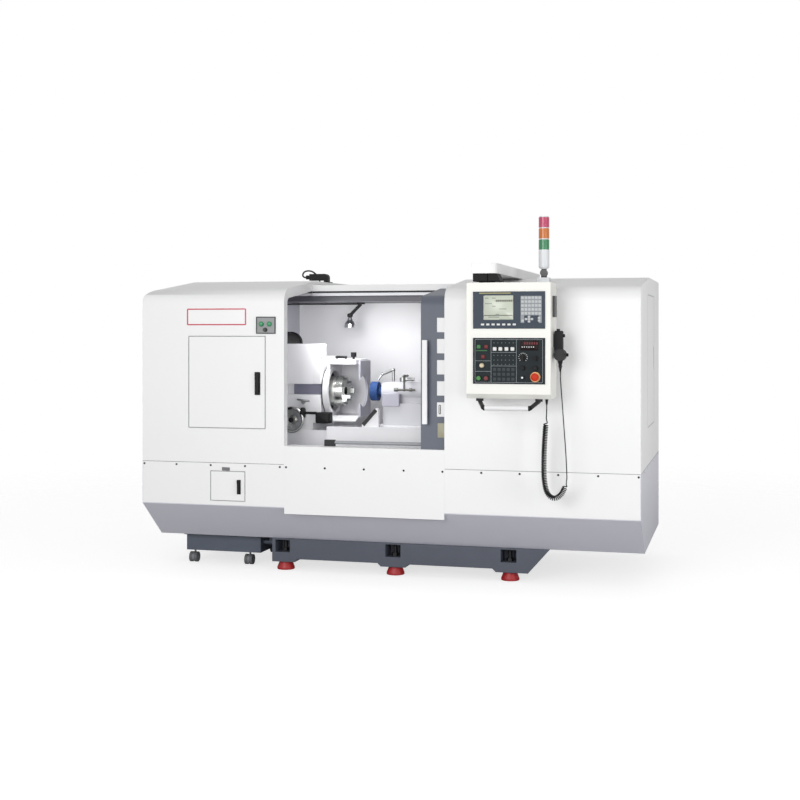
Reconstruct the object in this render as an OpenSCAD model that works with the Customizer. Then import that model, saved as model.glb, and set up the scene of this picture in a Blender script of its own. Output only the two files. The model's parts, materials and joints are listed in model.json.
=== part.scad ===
// CNC internal grinder with a sliding front door and a hanging control pendant.
// X runs along the machine, Y from front to back, Z up from the floor.
// The modules measure Y from the front sheet, and seat() puts it in place.

/* [Enclosure] */
// Length over the two ends
machine_l = 2900; // [2700:10:3200]
// Depth from the front sheet to the rear sheet
machine_d = 1410; // [1350:10:1600]
// Height of the flat roof above the floor
roof_z = 1723; // [1680:1:1800]
// Thickness of the folded sheets
sheet_t = 3; // [2:0.5:4]
// Radius of the bend between front and roof
bend_r = 155; // [110:5:180]
// Slope of the front part of the roof, in degrees
slope_deg = 7; // [5:0.5:9]
// Depth at which the roof turns flat
slope_back = 570; // [540:10:640]
// Radius of the left hood's end corner
hood_r = 85; // [40:5:110]
// Length of the left section
left_l = 885; // [840:5:920]
// Length of the right section
right_l = 1074; // [1040:2:1120]
// Width of the flange round the door opening
flange_w = 55; // [35:1:60]
// Space left between a door leaf and its frame
leaf_gap = 0.3; // [0.2:0.1:0.6]
// Width of the frame lip behind a hatch
lip_w = 12; // [8:1:20]

/* [Base] */
// Height of the drip tray's underside
tray_z = 188; // [175:1:200]
// Depth of the tray's sloping front
tray_slope = 259; // [200:1:300]
// Height where the sloping front meets the lower panels
skirt_z = 404; // [380:1:430]
// Height of the seam between lower and upper sheets
seam_z = 652; // [620:1:700]
// Height of the door sill
sill_z = 757; // [740:1:790]
// How far the centre panel hangs below the lower panels
centre_drop = 34; // [20:1:40]
// Depth of the sill shelf
sill_d = 110; // [90:5:140]

/* [Bed] */
// Reach of the bed past the left edge of the door opening
bed_over_l = 163; // [150:1:190]
// Reach of the bed's pads past the right edge of the door opening
bed_over_r = 427; // [400:1:440]
// Overhang of the slanted right end
bed_slant = 122; // [80:1:140]
// Front face of the bed
bed_front = 240; // [225:1:245]
// Depth of the bed
bed_d = 930; // [900:10:980]
// Height of the pads' underside
pad_z = 50; // [45:1:55]
// Height of the underside between the pads
web_z = 69; // [64:1:80]
// Half width of a pad
pad_half = 74; // [70:1:84]
// Setback of the left feet from the bed's left end
foot_in_l = 66; // [60:1:70]
// Setback of the right feet from the pads' right end
foot_in_r = 111; // [100:1:116]
// Setback of the feet from the bed's front and rear
foot_inset = 60; // [56:1:90]
// Diameter of a foot
foot_dia = 104; // [96:1:110]
// Height of a foot
foot_h = 63; // [56:1:66]
// Diameter of a levelling screw
screw_dia = 24; // [20:1:30]
// Width of the pocket above a foot
pocket_w = 90; // [80:1:96]
// Height of the pocket's floor
pocket_z = 108; // [100:1:120]
// Height of the slideways
way_z = 700; // [680:1:710]

/* [Coolant tank] */
// Setback of the tank from the machine's left end
tank_in = 134; // [110:1:150]
// Space between the tank and the bed
tank_gap = 107; // [90:1:120]
// Front of the tank
tank_front = 330; // [300:5:360]
// Depth of the tank
tank_d = 560; // [500:10:620]
// Underside of the tank
tank_z = 80; // [76:1:86]
// Height of the tank
tank_h = 98; // [80:1:100]
// Diameter of a caster wheel
wheel_dia = 62; // [56:1:66]

/* [Front door] */
// Setback of the door behind the front sheet
door_back = 22; // [18:1:26]
// Width of the leading band
band_w = 139; // [130:1:150]
// Depth of the notches in the band
notch_w = 47; // [40:1:52]
// Height of a notch
notch_h = 80; // [70:1:90]
// Spacing of the notches
notch_pitch = 117.5; // [110:0.5:120]
// Number of notches
notch_n = 5; // [3:1:5]
// Middle of the lowest notch
notch_z = 980; // [970:1:1000]
// Depth at which the door's top ends
door_top = 496; // [480:1:500]
// Overlap of the closed door behind the right section
door_lap = 14; // [10:1:20]
// Width of the door sheet beside the window
window_side = 108; // [90:1:140]
// Height of the window
window_h = 500; // [400:10:520]
// Bottom of the window
window_z = 900; // [880:5:940]
// Length of the pull handle
pull_l = 466; // [400:2:480]
// Bottom of the pull handle
pull_z = 900; // [890:1:920]
// Reach of the pull handle
pull_reach = 42; // [36:1:50]

/* [Hatches] */
// Distance of the left hatch from the door opening
hatch_right = 112; // [100:1:130]
// Height of the left hatch
hatch_h = 538; // [500:1:560]
// Left edge of the left hatch from the left end
hatch_x = 292; // [280:1:310]
// Bottom of the left hatch
hatch_z = 851; // [830:1:870]
// Width of the lower hatch
low_hatch_w = 218; // [190:1:220]
// Height of the lower hatch
low_hatch_h = 177; // [160:1:180]
// Left edge of the lower hatch from the left end
low_hatch_x = 430; // [410:1:450]
// Bottom of the lower hatch
low_hatch_z = 430; // [428:1:440]
// Width of the end door
end_door_w = 522; // [480:1:530]
// Height of the end door
end_door_h = 760; // [700:5:770]
// Front edge of the end door
end_door_y = 468; // [450:1:480]
// Bottom of the end door
end_door_z = 865; // [855:1:880]

/* [Work area] */
// Depth of the work spindle's axis
axis_y = 600; // [590:5:610]
// Height of the work spindle's axis
axis_z = 1050; // [1040:1:1060]
// Distance of the workhead's right face inside the door opening
head_in = 20; // [10:1:26]
// Length of the workhead
head_l = 300; // [280:5:310]
// Front of the workhead before the spindle axis
head_fore = 150; // [140:1:160]
// Rear of the workhead behind the spindle axis
head_rear = 200; // [190:1:220]
// Underside of the workhead below the spindle axis
head_drop = 190; // [180:1:200]
// Top of the workhead above the spindle axis
head_rise = 212; // [205:1:220]
// Height of the splash shield on the workhead
shield_h = 77; // [70:1:90]
// Diameter of the chuck
chuck_dia = 185; // [160:1:190]
// Length of the chuck
chuck_l = 90; // [70:1:100]
// Diameter of the chuck's through bore
chuck_bore = 64; // [50:1:70]
// Length of the spindle nose behind the chuck
nose_l = 73; // [60:1:80]
// Diameter of the spindle nose
nose_dia = 110; // [100:1:120]
// Running clearance of a shaft in its bore
run_gap = 0.05; // [0.02:0.01:0.09]
// Length of the splash guard
guard_l = 275; // [260:1:290]
// Half height of the splash guard
guard_r = 155; // [150:1:165]
// Height of the guard cover
cover_h = 30; // [24:1:34]
// Diameter of the grinding wheel
grind_dia = 116; // [100:1:124]
// Width of the grinding wheel
grind_w = 45; // [35:1:50]
// Distance from the workhead's right face to the grinding wheel
grind_in = 330; // [325:1:345]
// Distance from the grinding wheel's left face to the wheelhead
wheelhead_in = 75; // [70:1:85]
// Length of the wheelhead
wheelhead_l = 470; // [440:5:500]
// Diameter of the wheelhead barrel
barrel_dia = 120; // [110:1:130]
// Top of the wheel slide below the spindle axis
saddle_drop = 200; // [190:1:210]
// Distance of the left inner wall from the door opening
wall_l = 315; // [312:1:330]
// Distance of the right inner wall from the door opening
wall_r = 324; // [300:1:340]
// Space behind the inner rear wall
wall_gap = 260; // [240:5:280]
// Space between the work lamp and the inner rear wall
lamp_in = 250; // [200:5:280]

/* [Pendant] */
// Distance of the boom from the door opening
boom_in = 203; // [190:1:215]
// Reach of the pendant box to the left of the boom
pend_left = 26; // [20:1:34]
// Width of the pendant box
pend_w = 450; // [430:1:460]
// Height of the pendant box
pend_h = 615; // [600:1:630]
// Height of the swivel between pendant and boom
swivel_h = 50; // [44:1:56]
// Depth of the pendant box
pend_d = 205; // [190:1:210]
// Gap between the front sheet and the pendant
pend_gap = 40; // [36:1:60]
// Reach of the handle bar in front of the pendant
bar_reach = 40; // [36:1:50]
// Diameter of the handle bar
bar_dia = 28; // [24:1:32]
// Width of the boom
boom_w = 136; // [120:1:150]
// Height of the boom
boom_h = 54; // [45:1:65]
// Distance of the boom's rear end from the machine's rear
boom_rear = 120; // [100:5:200]
// Width of the display unit and the operator panel
panel_w = 384; // [370:1:390]
// Height of the display unit
display_h = 196; // [190:1:204]
// Distance of the display unit below the pendant's top
display_in = 48; // [40:1:52]
// Height of the operator panel
panel_h = 243; // [230:1:250]
// Distance of the operator panel above the pendant's bottom
panel_in = 79; // [70:1:86]
// Diameter of the emergency stop
stop_dia = 54; // [44:1:56]
// Height of the pulse generator
pulse_h = 196; // [180:1:200]
// Diameter of the pulse dial
dial_dia = 62; // [54:1:66]
// Play around a turning or sliding control
play = 0.3; // [0.2:0.05:0.5]

/* [Signal tower] */
// Diameter of the tower
tower_dia = 60; // [50:1:70]
// Height of one lens
lens_h = 57; // [45:1:62]
// Height of a clear ring between lenses
ring_h = 6; // [4:1:10]
// Distance of the tower from the machine's right end
tower_in = 565; // [530:5:590]
// Depth of the tower on the roof
tower_y = 300; // [280:5:320]

/* [Hidden] */
$fn = 48;
half_l = machine_l / 2;
open_x0 = -half_l + left_l;
open_x1 = half_l - right_l;
front_reach = pend_gap + pend_d + bar_reach + bar_dia / 2;
front_y = (front_reach - machine_d) / 2;
bend_steps = 12;
slope_z0 = roof_z - slope_back * tan(slope_deg);
bend_c = [bend_r, slope_z0 + bend_r * tan(slope_deg) - bend_r / cos(slope_deg)];
tray_deg = atan2(skirt_z - tray_z, tray_slope);
tray_rise = sheet_t / cos(tray_deg);
header_z = roof_z - 28;
header_y = door_top + 4;
header_h = 48;
ceiling_z = header_z - 98;
ceiling_y = header_y + 40;
wall_x = open_x0 - wall_l;
wall_y = machine_d - wall_gap;
rail_h = 17;
rail_d = 22;
rod_dia = 20;
weld = 0.5;
seat_gap = 0.02;
bed_gap = 2;
bed_left = open_x0 - bed_over_l;
bed_right = open_x1 + bed_over_r;
foot_left = bed_left + foot_in_l;
foot_right = bed_right - foot_in_r;
foot_x = [foot_left, (foot_left + foot_right) / 2, foot_right];
foot_y = [bed_front + foot_inset, bed_front + bed_d - foot_inset];
trunk_in = 60;
trunk_fore = 70;
slide_lift = 0.3;
slide_z = way_z + slide_lift;
tank_left = -half_l + tank_in;
tank_right = bed_left - tank_gap;
door_x0 = open_x1 - band_w;
door_x1 = door_x0 + (open_x1 - open_x0) + door_lap;
door_z = sill_z + leaf_gap;
band_t = 2;
window_x0 = open_x1 + window_side;
window_x1 = door_x1 - window_side;
pane_t = 8;
pane_rim = 8;
leaf_d = 22;
hatch_w = left_l - hatch_x - hatch_right;
latch_w = 33;
latch_h = 132;
low_latch_w = 22;
low_latch_h = 83;
dish_d = 16;
dish_w = 36;
dish_h = 140;
dish_at = [end_door_w - 42, end_door_h / 2 + 10];
head_x = open_x0 + head_in;
head_left = head_x - head_l;
head_front = axis_y - head_fore;
head_back = axis_y + head_rear;
head_z = axis_z - head_drop;
head_deck = axis_z + head_rise;
guard_x0 = head_x;
guard_x1 = head_x + guard_l;
guard_t = 12;
guard_back = axis_y + guard_r;
guard_front = axis_y - guard_r * 0.8;
guard_top = axis_z + guard_r + 10;
chuck_x0 = head_x + nose_l;
chuck_x1 = chuck_x0 + chuck_l;
nose_in = nose_l - 15;
grind_x = head_x + grind_in;
wheelhead_x = grind_x + wheelhead_in;
wheelhead_x1 = wheelhead_x + wheelhead_l;
shaft_r = barrel_dia / 6;
saddle_z = axis_z - saddle_drop;
lamp_at = [head_x + 169, wall_y - lamp_in, ceiling_z];
lamp_joint = lamp_at + [-73, 0, -82];
conduit_at = [wall_x + sheet_t + 24, header_y + 20, ceiling_z - 16];
boom_x = open_x1 + boom_in;
boom_back = machine_d - boom_rear;
pend_x = boom_x - pend_left;
pend_top = roof_z - swivel_h;
pend_z = pend_top - pend_h;
pend_front = -pend_gap - pend_d;
pend_back = -pend_gap;
pivot = [boom_x + boom_w / 2, pend_front + 95];
bezel_t = 6;
bezel_y = pend_front - bezel_t;
panel_mid = pend_x + pend_w / 2 + 4;
panel_left = panel_mid - panel_w / 2;
panel_low = pend_z + panel_in;
display_low = pend_top - display_in - display_h;
stop_at = panel_at(0.867, 0.156);
feed_at = panel_at(0.698, 0.58);
mode_at = panel_at(0.872, 0.564);
start_at = panel_at(0.081, 0.123);
halt_at = panel_at(0.185, 0.123);
stop_stem = 15;
button_r = 11;
stem_in = 0.5;
mpg_x = pend_x + pend_w;
pulse_low = display_low - pulse_h;
pulse_y = pend_front + 74;
pulse_d = 42;
pulse_off = 6;
pulse_w = 66;
dial_at = [mpg_x + dial_dia * 0.6, pulse_low + dial_dia * 0.92];
tower_x = half_l - tower_in;
tower_z = slope_z0 + tower_y * tan(slope_deg);
lens_z = tower_z + 186;
plug_at = [open_x0 - flange_w, head_back + 70];
// Route of the pulse generator's cord from the pendant's underside, with its radius at each point
cord_route = [
    [-35, 0, 0, 4], [-35, 0, -48, 4], [-36, 0, -82, 4], [-37, 0, -98, 15],
    [-43, 0, -178, 15], [-48, 0, -268, 15], [-50, 0, -358, 15], [-47, 0, -438, 15],
    [-31, 0, -502, 15], [5, 0, -528, 15], [41, 0, -506, 15], [63, 0, -462, 15],
    [71, 0, -428, 15], [72, 0, -412, 4], [67, 0, -298, 4], [57, 0, -158, 4],
    [47, 0, -18, 4], [39, 0, 92, 4], [37, 0, 175, 4]];
// Route of the roof cable, from the connector round to the roof behind it
roof_route = [
    [-112, 0, 36, 6], [-125, 0, 37, 6], [-136, 3, 46, 6], [-137, 8, 60, 6],
    [-128, 14, 73, 6], [-108, 22, 79, 6], [-84, 30, 75, 6], [-64, 36, 61, 6],
    [-48, 40, 41, 6], [-38, 42, 19, 6], [-35, 42, 0, 6]];

// Moves a piece from the front sheet's own Y to the part's frame
module seat() {
    translate([0, front_y, 0]) children();
}

// Box between two corners
module block(a, b) {
    translate(a) cube(b - a);
}

// Outline in Y and Z, carried along X
module along_x(x0, x1, points) {
    translate([x0, 0, 0]) rotate([90, 0, 90]) linear_extrude(x1 - x0) polygon(points);
}

// Outline in X and Z, carried along Y
module along_y(y0, y1, points) {
    translate([0, y1, 0]) rotate([90, 0, 0]) linear_extrude(y1 - y0) polygon(points);
}

// Round bars along the three axes
module bar_x(x0, x1, y, z, r) {
    translate([x0, y, z]) rotate([0, 90, 0]) cylinder(h = x1 - x0, r = r);
}
module bar_y(y0, y1, x, z, r) {
    translate([x, y1, z]) rotate([90, 0, 0]) cylinder(h = y1 - y0, r = r);
}
module bar_z(z0, z1, x, y, r) {
    translate([x, y, z0]) cylinder(h = z1 - z0, r = r);
}

// Round bar between two points
module bar(p, q, r) {
    d = q - p;
    translate(p) rotate([0, acos(d[2] / norm(d)), atan2(d[1], d[0])]) cylinder(h = norm(d), r = r);
}

// Point on the operator panel, as shares of its width and height
function panel_at(across, up) = [panel_left + across * panel_w, panel_low + up * panel_h];

function reversed(v) = [for (i = [len(v) - 1:-1:0]) v[i]];

// Front bend of the shell at the inset d, from the vertical front to the slope
function bend_line(d) = [for (i = [0:bend_steps])
    let (t = 180 - i * (90 - slope_deg) / bend_steps)
    bend_c + (bend_r - d) * [cos(t), sin(t)]];

// Front, bend, slope and flat roof at the inset d
function shell_line(d, z_low, y_end) = concat([[d, z_low]], bend_line(d),
    [[slope_back + d * tan(slope_deg / 2), roof_z - d], [y_end, roof_z - d]]);

// Front, bend and slope at the inset d, ending on the slope
function slope_line(d, z_low, y_end) = concat([[d, z_low]], bend_line(d),
    [[y_end, slope_z0 + y_end * tan(slope_deg) - d / cos(slope_deg)]]);

// Sheet of thickness t that follows a line pair
function sheet(outer, inner) = concat(outer, reversed(inner));

// Space under the left roof with its rounded end, shrunk by the inset d
module hood_space(d, x_end, z_low) {
    round_r = hood_r - d;
    intersection() {
        along_x(-half_l + d, x_end,
            concat(shell_line(d, z_low, machine_d), [[machine_d, z_low]]));
        translate([0, slope_back, roof_z]) rotate([slope_deg, 0, 0])
            hood_corner(d, x_end, round_r, -slope_back - bend_r, machine_d);
        translate([0, slope_back, roof_z])
            hood_corner(d, x_end, round_r, -slope_back - bend_r, machine_d);
    }
}

// Upright block whose upper left edge is rounded, with its top at z = -d
module hood_corner(d, x_end, r, y0, y1) {
    translate([0, y1, 0]) rotate([90, 0, 0]) linear_extrude(y1 - y0) union() {
        translate([-half_l + d + r, -roof_z]) square([x_end + half_l - d - r, roof_z - d]);
        translate([-half_l + d, -roof_z]) square([r + 1, roof_z - d - r]);
        translate([-half_l + d + r, -d - r]) circle(r);
    }
}

// Frame lip behind an opening in a sheet: a ring in the X Z plane
module lip_ring(x, z, w, h, y0) {
    difference() {
        block([x - lip_w, y0, z - lip_w], [x + w + lip_w, y0 + sheet_t, z + h + lip_w]);
        block([x + lip_w, y0 - 1, z + lip_w], [x + w - lip_w, y0 + sheet_t + 1, z + h - lip_w]);
    }
}

// Smooth line through a route, and a tube swept along it
function route_smooth(route, steps) = concat([for (i = [0:len(route) - 2], k = [0:steps - 1])
    let (a = route[max(i - 1, 0)], b = route[i], c = route[i + 1], e = route[min(i + 2, len(route) - 1)],
        t = k / steps)
    0.5 * (2 * b + (c - a) * t + (2 * a - 5 * b + 4 * c - e) * t * t
        + (3 * b - a - 3 * c + e) * t * t * t)], [route[len(route) - 1]]);
function xyz(p) = [p[0], p[1], p[2]];
function unit(v) = v / norm(v);
module tube(route, steps, sides) {
    path = route_smooth(route, steps);
    count = len(path);
    points = [for (i = [0:count - 1])
        let (along = unit(xyz(path[min(i + 1, count - 1)]) - xyz(path[max(i - 1, 0)])),
            side = unit(cross(along, [0, 1, 0])),
            over = cross(side, along),
            near = floor(i / steps + 0.5),
            r = min(route[near][3], max(path[i][3], 1)))
        for (k = [0:sides - 1])
            xyz(path[i]) + r * (cos(360 * k / sides) * side - sin(360 * k / sides) * over)];
    walls = [for (i = [0:count - 2], k = [0:sides - 1])
        [i * sides + k, i * sides + (k + 1) % sides, (i + 1) * sides + (k + 1) % sides, (i + 1) * sides + k]];
    ends = [[for (k = [sides - 1:-1:0]) k], [for (k = [0:sides - 1]) (count - 1) * sides + k]];
    polyhedron(points, concat(walls, ends));
}

module bed() {
    top_right = bed_right + bed_slant;
    bed_back = bed_front + bed_d;
    chamfer = web_z - pad_z;
    deck_z = way_z - 40;
    corbel_z = skirt_z + 30;
    way_half = 130;
    color("slategray") seat() difference() {
        union() {
            along_y(bed_front, bed_back, concat(
                [[bed_left, tray_z], [bed_left, pad_z], [foot_x[0] + pad_half, pad_z],
                    [foot_x[0] + pad_half + chamfer, web_z]],
                [[foot_x[1] - pad_half - chamfer, web_z], [foot_x[1] - pad_half, pad_z],
                    [foot_x[1] + pad_half, pad_z], [foot_x[1] + pad_half + chamfer, web_z]],
                [[foot_x[2] - pad_half - chamfer, web_z], [foot_x[2] - pad_half, pad_z],
                    [bed_right, pad_z], [top_right, tray_z]]));
            along_y(bed_front + trunk_fore, bed_back - trunk_fore, [[bed_left + trunk_in, tray_z - 1],
                [bed_left + trunk_in, corbel_z], [head_left - 10, corbel_z + 100], [head_left - 10, deck_z],
                [bed_right - trunk_in, deck_z], [bed_right - trunk_in, tray_z - 1]]);
            for (y = [axis_y - way_half, axis_y + way_half])
                block([head_x + 10, y - 35, deck_z - 1], [bed_right - 100, y + 35, way_z]);
            for (x = [head_left + 60, head_x - 60])
                block([x - 30, bed_front + 90, deck_z - 1], [x + 30, bed_back - 90, way_z]);
        }
        for (x = foot_x, y = foot_y) {
            bar_z(pad_z - 1, foot_h, x, y, foot_dia * 0.42);
            bar_z(foot_h - 1, tray_z - 1, x, y, screw_dia / 2 + 0.5);
        }
        for (x = foot_x) {
            block([x - pocket_w / 2, bed_front - 1, pocket_z], [x + pocket_w / 2, foot_y[0] + 60, tray_z - 8]);
            block([x - pocket_w / 2, foot_y[1] - 60, pocket_z], [x + pocket_w / 2, bed_back + 1, tray_z - 8]);
        }
    }
}

module levelling_feet() {
    rim = 12;
    color("firebrick") seat() for (x = foot_x, y = foot_y)
        translate([x, y, 0]) rotate_extrude() polygon([[0, 0], [foot_dia / 2 - 2, 0], [foot_dia / 2, 2],
            [foot_dia / 2, rim], [foot_dia * 0.36, foot_h - 14], [foot_dia * 0.3, foot_h], [0, foot_h]]);
}

module levelling_screws() {
    nut_h = 18;
    color("dimgray") seat() for (x = foot_x, y = foot_y) {
        bar_z(foot_h, tray_z - 22, x, y, screw_dia / 2);
        translate([x, y, pocket_z]) cylinder(h = nut_h, r = screw_dia * 0.85, $fn = 6);
    }
}

module coolant_tank() {
    wall = 4;
    rim = 12;
    right = tank_right;
    back = tank_front + tank_d;
    top = tank_z + tank_h;
    color("slategray") seat() {
        difference() {
            union() {
                block([tank_left, tank_front, tank_z], [right, back, top]);
                block([tank_left - rim, tank_front - rim, top - wall], [right, back + rim, top]);
            }
            block([tank_left + wall, tank_front + wall, tank_z + wall], [right - wall, back - wall, top + 1]);
        }
        bar_x(right - 1, right + 60, tank_front + 60, top - 40, 14);
        bar_z(top - 40, tray_z - leaf_gap, right + 46, tank_front + 60, 14);
    }
}

// Places of the four casters under the tank
function caster_places() = [for (x = [tank_left + 30, tank_right - 90],
    y = [tank_front + 60, tank_front + tank_d - 60]) [x, y]];

module caster_hoods() {
    axle = wheel_dia / 2;
    hood_half = 7;
    color("gray") seat() for (p = caster_places()) translate([p[0], p[1], 0]) {
        block([-30, -30, tank_z - 5], [30, 30, tank_z]);
        bar_z(axle + 10, tank_z - 4, 0, 0, hood_half - 1);
        bar_x(-hood_half, hood_half, -12, axle, axle - 3);
        bar_x(-hood_half - 18, hood_half + 18, -12, axle, 5);
    }
}

module caster_wheels() {
    axle = wheel_dia / 2;
    hood_half = 7;
    tread = 17;
    color("dimgray") seat() for (p = caster_places(), s = [-1, 1])
        translate([p[0], p[1] - 12, axle]) rotate([0, s * 90, 0]) difference() {
            translate([0, 0, hood_half + play]) cylinder(h = tread, r = axle);
            cylinder(h = 60, r = 5 + run_gap);
        }
}

// Cut-out round the bed's trunk in a sheet whose underside is at z
module trunk_hole(x0, z) {
    block([x0 - bed_gap, bed_front + trunk_fore - bed_gap, z - 1],
        [bed_right - trunk_in + bed_gap, bed_front + bed_d - trunk_fore + bed_gap, z + sheet_t + 1]);
}

module drip_tray() {
    outer = [[0, skirt_z], [tray_slope, tray_z], [machine_d, tray_z], [machine_d, seam_z]];
    inner = [[0, skirt_z + tray_rise], [tray_slope + sheet_t * tan(tray_deg / 2), tray_z + sheet_t],
        [machine_d - sheet_t, tray_z + sheet_t], [machine_d - sheet_t, seam_z]];
    color("silver") seat() {
        difference() {
            along_x(-half_l, half_l, sheet(outer, inner));
            block([open_x0, -1, tray_z], [open_x1, sheet_t, seam_z]);
            trunk_hole(bed_left + trunk_in, tray_z);
        }
        for (x = [-half_l, half_l - sheet_t])
            along_x(x, x + sheet_t, concat(outer, [[0, seam_z]]));
    }
}

module lower_panels() {
    low = skirt_z + tray_rise;
    hatch_left = -half_l + low_hatch_x;
    color("white") seat() {
        difference() {
            block([-half_l + sheet_t, 0, low], [open_x0, sheet_t, seam_z]);
            block([hatch_left, -1, low_hatch_z],
                [hatch_left + low_hatch_w, sheet_t + 1, low_hatch_z + low_hatch_h]);
        }
        lip_ring(hatch_left, low_hatch_z, low_hatch_w, low_hatch_h, sheet_t);
        block([open_x1, 0, low], [half_l - sheet_t, sheet_t, seam_z]);
    }
}

module centre_panel() {
    color("white") seat() {
        block([open_x0, 0, skirt_z - centre_drop], [open_x1, sheet_t, sill_z]);
        block([open_x0, 0, sill_z - sheet_t], [open_x1, sill_d, sill_z]);
        block([open_x0, sill_d - sheet_t, seam_z], [open_x1, sill_d, sill_z]);
    }
}

module left_hood() {
    left = -half_l + hatch_x;
    back = machine_d - sheet_t;
    flange = sheet(shell_line(sheet_t, seam_z, back), shell_line(flange_w, seam_z, back));
    color("white") seat() {
        difference() {
            hood_space(0, open_x0, seam_z);
            hood_space(sheet_t, open_x0 + 1, seam_z - 1);
            block([left, -1, hatch_z], [left + hatch_w, sheet_t + 1, hatch_z + hatch_h]);
        }
        along_x(open_x0 - sheet_t, open_x0, flange);
        lip_ring(left, hatch_z, hatch_w, hatch_h, sheet_t);
    }
}

module right_hood() {
    edge = door_back - sheet_t;
    end = half_l - sheet_t;
    back = machine_d - sheet_t;
    shell = sheet(shell_line(0, seam_z, machine_d), shell_line(sheet_t, seam_z, machine_d));
    hem = sheet(shell_line(sheet_t, sill_z, back), shell_line(edge - 4, sill_z, back));
    color("white") seat() {
        along_x(open_x1, end, shell);
        along_x(open_x1, open_x1 + sheet_t, hem);
        along_x(open_x1, open_x1 + sheet_t, [[header_y, header_z], [back, header_z], [back, roof_z - sheet_t],
            [slope_back, roof_z - sheet_t], [header_y, slope_z0 + header_y * tan(slope_deg) - sheet_t]]);
    }
}

module right_end_panel() {
    color("gainsboro") seat() {
        difference() {
            along_x(half_l - sheet_t, half_l,
                concat(shell_line(0, seam_z, machine_d), [[machine_d, seam_z]]));
            block([half_l - sheet_t - 1, end_door_y, end_door_z],
                [half_l + 1, end_door_y + end_door_w, end_door_z + end_door_h]);
        }
        translate([half_l, 0, 0]) rotate([0, 0, 90])
            lip_ring(end_door_y, end_door_z, end_door_w, end_door_h, sheet_t);
    }
}

module rear_panel() {
    color("gainsboro") seat() {
        intersection() {
            hood_space(sheet_t, open_x0, seam_z);
            block([-half_l, machine_d - sheet_t, seam_z], [open_x0, machine_d, roof_z]);
        }
        block([open_x0 - 1, machine_d - sheet_t, seam_z], [open_x1 + 1, machine_d, header_z]);
        block([open_x1, machine_d - sheet_t, seam_z], [half_l - sheet_t, machine_d, roof_z - sheet_t]);
    }
}

module centre_roof() {
    back = machine_d - sheet_t;
    low = header_z - header_h;
    color("white") seat() {
        along_x(open_x0, open_x1, [[header_y, low], [ceiling_y, low], [ceiling_y, ceiling_z],
            [back, ceiling_z], [back, header_z], [header_y, header_z]]);
        block([wall_x, ceiling_y, ceiling_z], [open_x0, back, low]);
    }
}

module splash_wall() {
    right = open_x1 + wall_r;
    color("whitesmoke") seat() {
        block([wall_x, wall_y - sheet_t, seam_z], [right, wall_y, ceiling_z]);
        block([wall_x, leaf_d + 8, seam_z], [wall_x + sheet_t, wall_y, ceiling_z]);
        block([right - sheet_t, wall_y - sheet_t, seam_z], [right, machine_d - sheet_t, ceiling_z]);
        difference() {
            block([wall_x, sill_d, seam_z - sheet_t], [right, wall_y, seam_z]);
            trunk_hole(head_left - 10, seam_z - sheet_t);
        }
    }
}

module door_rails() {
    stop_l = 60;
    rod_x0 = open_x0 + 220;
    rod_x1 = door_x1 + 20;
    rod_y = sill_d - 30;
    rod_z = sill_z + 12 + rod_dia / 2;
    low = header_z - header_h;
    color("silver") seat() {
        block([open_x0, header_y + 6, low - rail_h], [door_x1, header_y + 6 + rail_d, low]);
        block([open_x1, sheet_t, sill_z - 30], [door_x1 + 10, sill_d - 50, sill_z]);
        bar_x(rod_x0, rod_x1, rod_y, rod_z, rod_dia / 2);
        for (x = [rod_x0, open_x1 - stop_l])
            block([x, rod_y - 14, sill_z], [x + stop_l, rod_y + 14, rod_z + rod_dia / 2 + 4]);
    }
}

module front_door() {
    inner = door_back + sheet_t;
    hem = 25;
    color("white") seat() {
        difference() {
            along_x(door_x0, door_x1,
                sheet(slope_line(door_back, door_z, door_top), slope_line(inner, door_z, door_top)));
            block([window_x0, 0, window_z], [window_x1, inner + 1, window_z + window_h]);
        }
        for (x = [door_x0, door_x1 - sheet_t])
            along_x(x, x + sheet_t,
                sheet(slope_line(inner - weld, door_z, door_top), slope_line(inner + hem, door_z, door_top)));
        block([door_x0, inner - weld, door_z], [door_x1, inner + hem, door_z + sheet_t]);
    }
}

module door_band() {
    outer = door_back - band_t;
    color("slategray") seat() difference() {
        along_x(door_x0, open_x1,
            sheet(slope_line(outer, door_z, door_top), slope_line(door_back, door_z, door_top)));
        for (i = [0:notch_n - 1])
            block([open_x1 - notch_w, 0, notch_z + i * notch_pitch - notch_h / 2],
                [open_x1 + 1, door_back + 1, notch_z + i * notch_pitch + notch_h / 2]);
    }
}

module door_window() {
    y0 = door_back + sheet_t;
    color("lightcyan") seat()
        block([window_x0 - pane_rim, y0, window_z - pane_rim],
            [window_x1 + pane_rim, y0 + pane_t, window_z + window_h + pane_rim]);
}

module window_gasket() {
    lip = 14;
    rim = pane_rim + lip;
    y0 = door_back + sheet_t;
    color("black") seat() difference() {
        block([window_x0 - rim, y0, window_z - rim], [window_x1 + rim, y0 + pane_t + 3, window_z + window_h + rim]);
        block([window_x0 - pane_rim, y0 - 1, window_z - pane_rim],
            [window_x1 + pane_rim, y0 + pane_t, window_z + window_h + pane_rim]);
        block([window_x0 + lip, y0, window_z + lip],
            [window_x1 - lip, y0 + pane_t + 4, window_z + window_h - lip]);
    }
}

module door_pull() {
    bar_w = 28;
    bar_t = 12;
    post_h = 30;
    x = door_x0 + 17;
    face = door_back - band_t;
    color("white") seat() {
        block([x, face - pull_reach, pull_z], [x + bar_w, face - pull_reach + bar_t, pull_z + pull_l]);
        for (z = [pull_z + 40, pull_z + pull_l - 40 - post_h])
            block([x + 4, face - pull_reach + bar_t - 1, z], [x + bar_w - 4, face, z + post_h]);
    }
}

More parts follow.
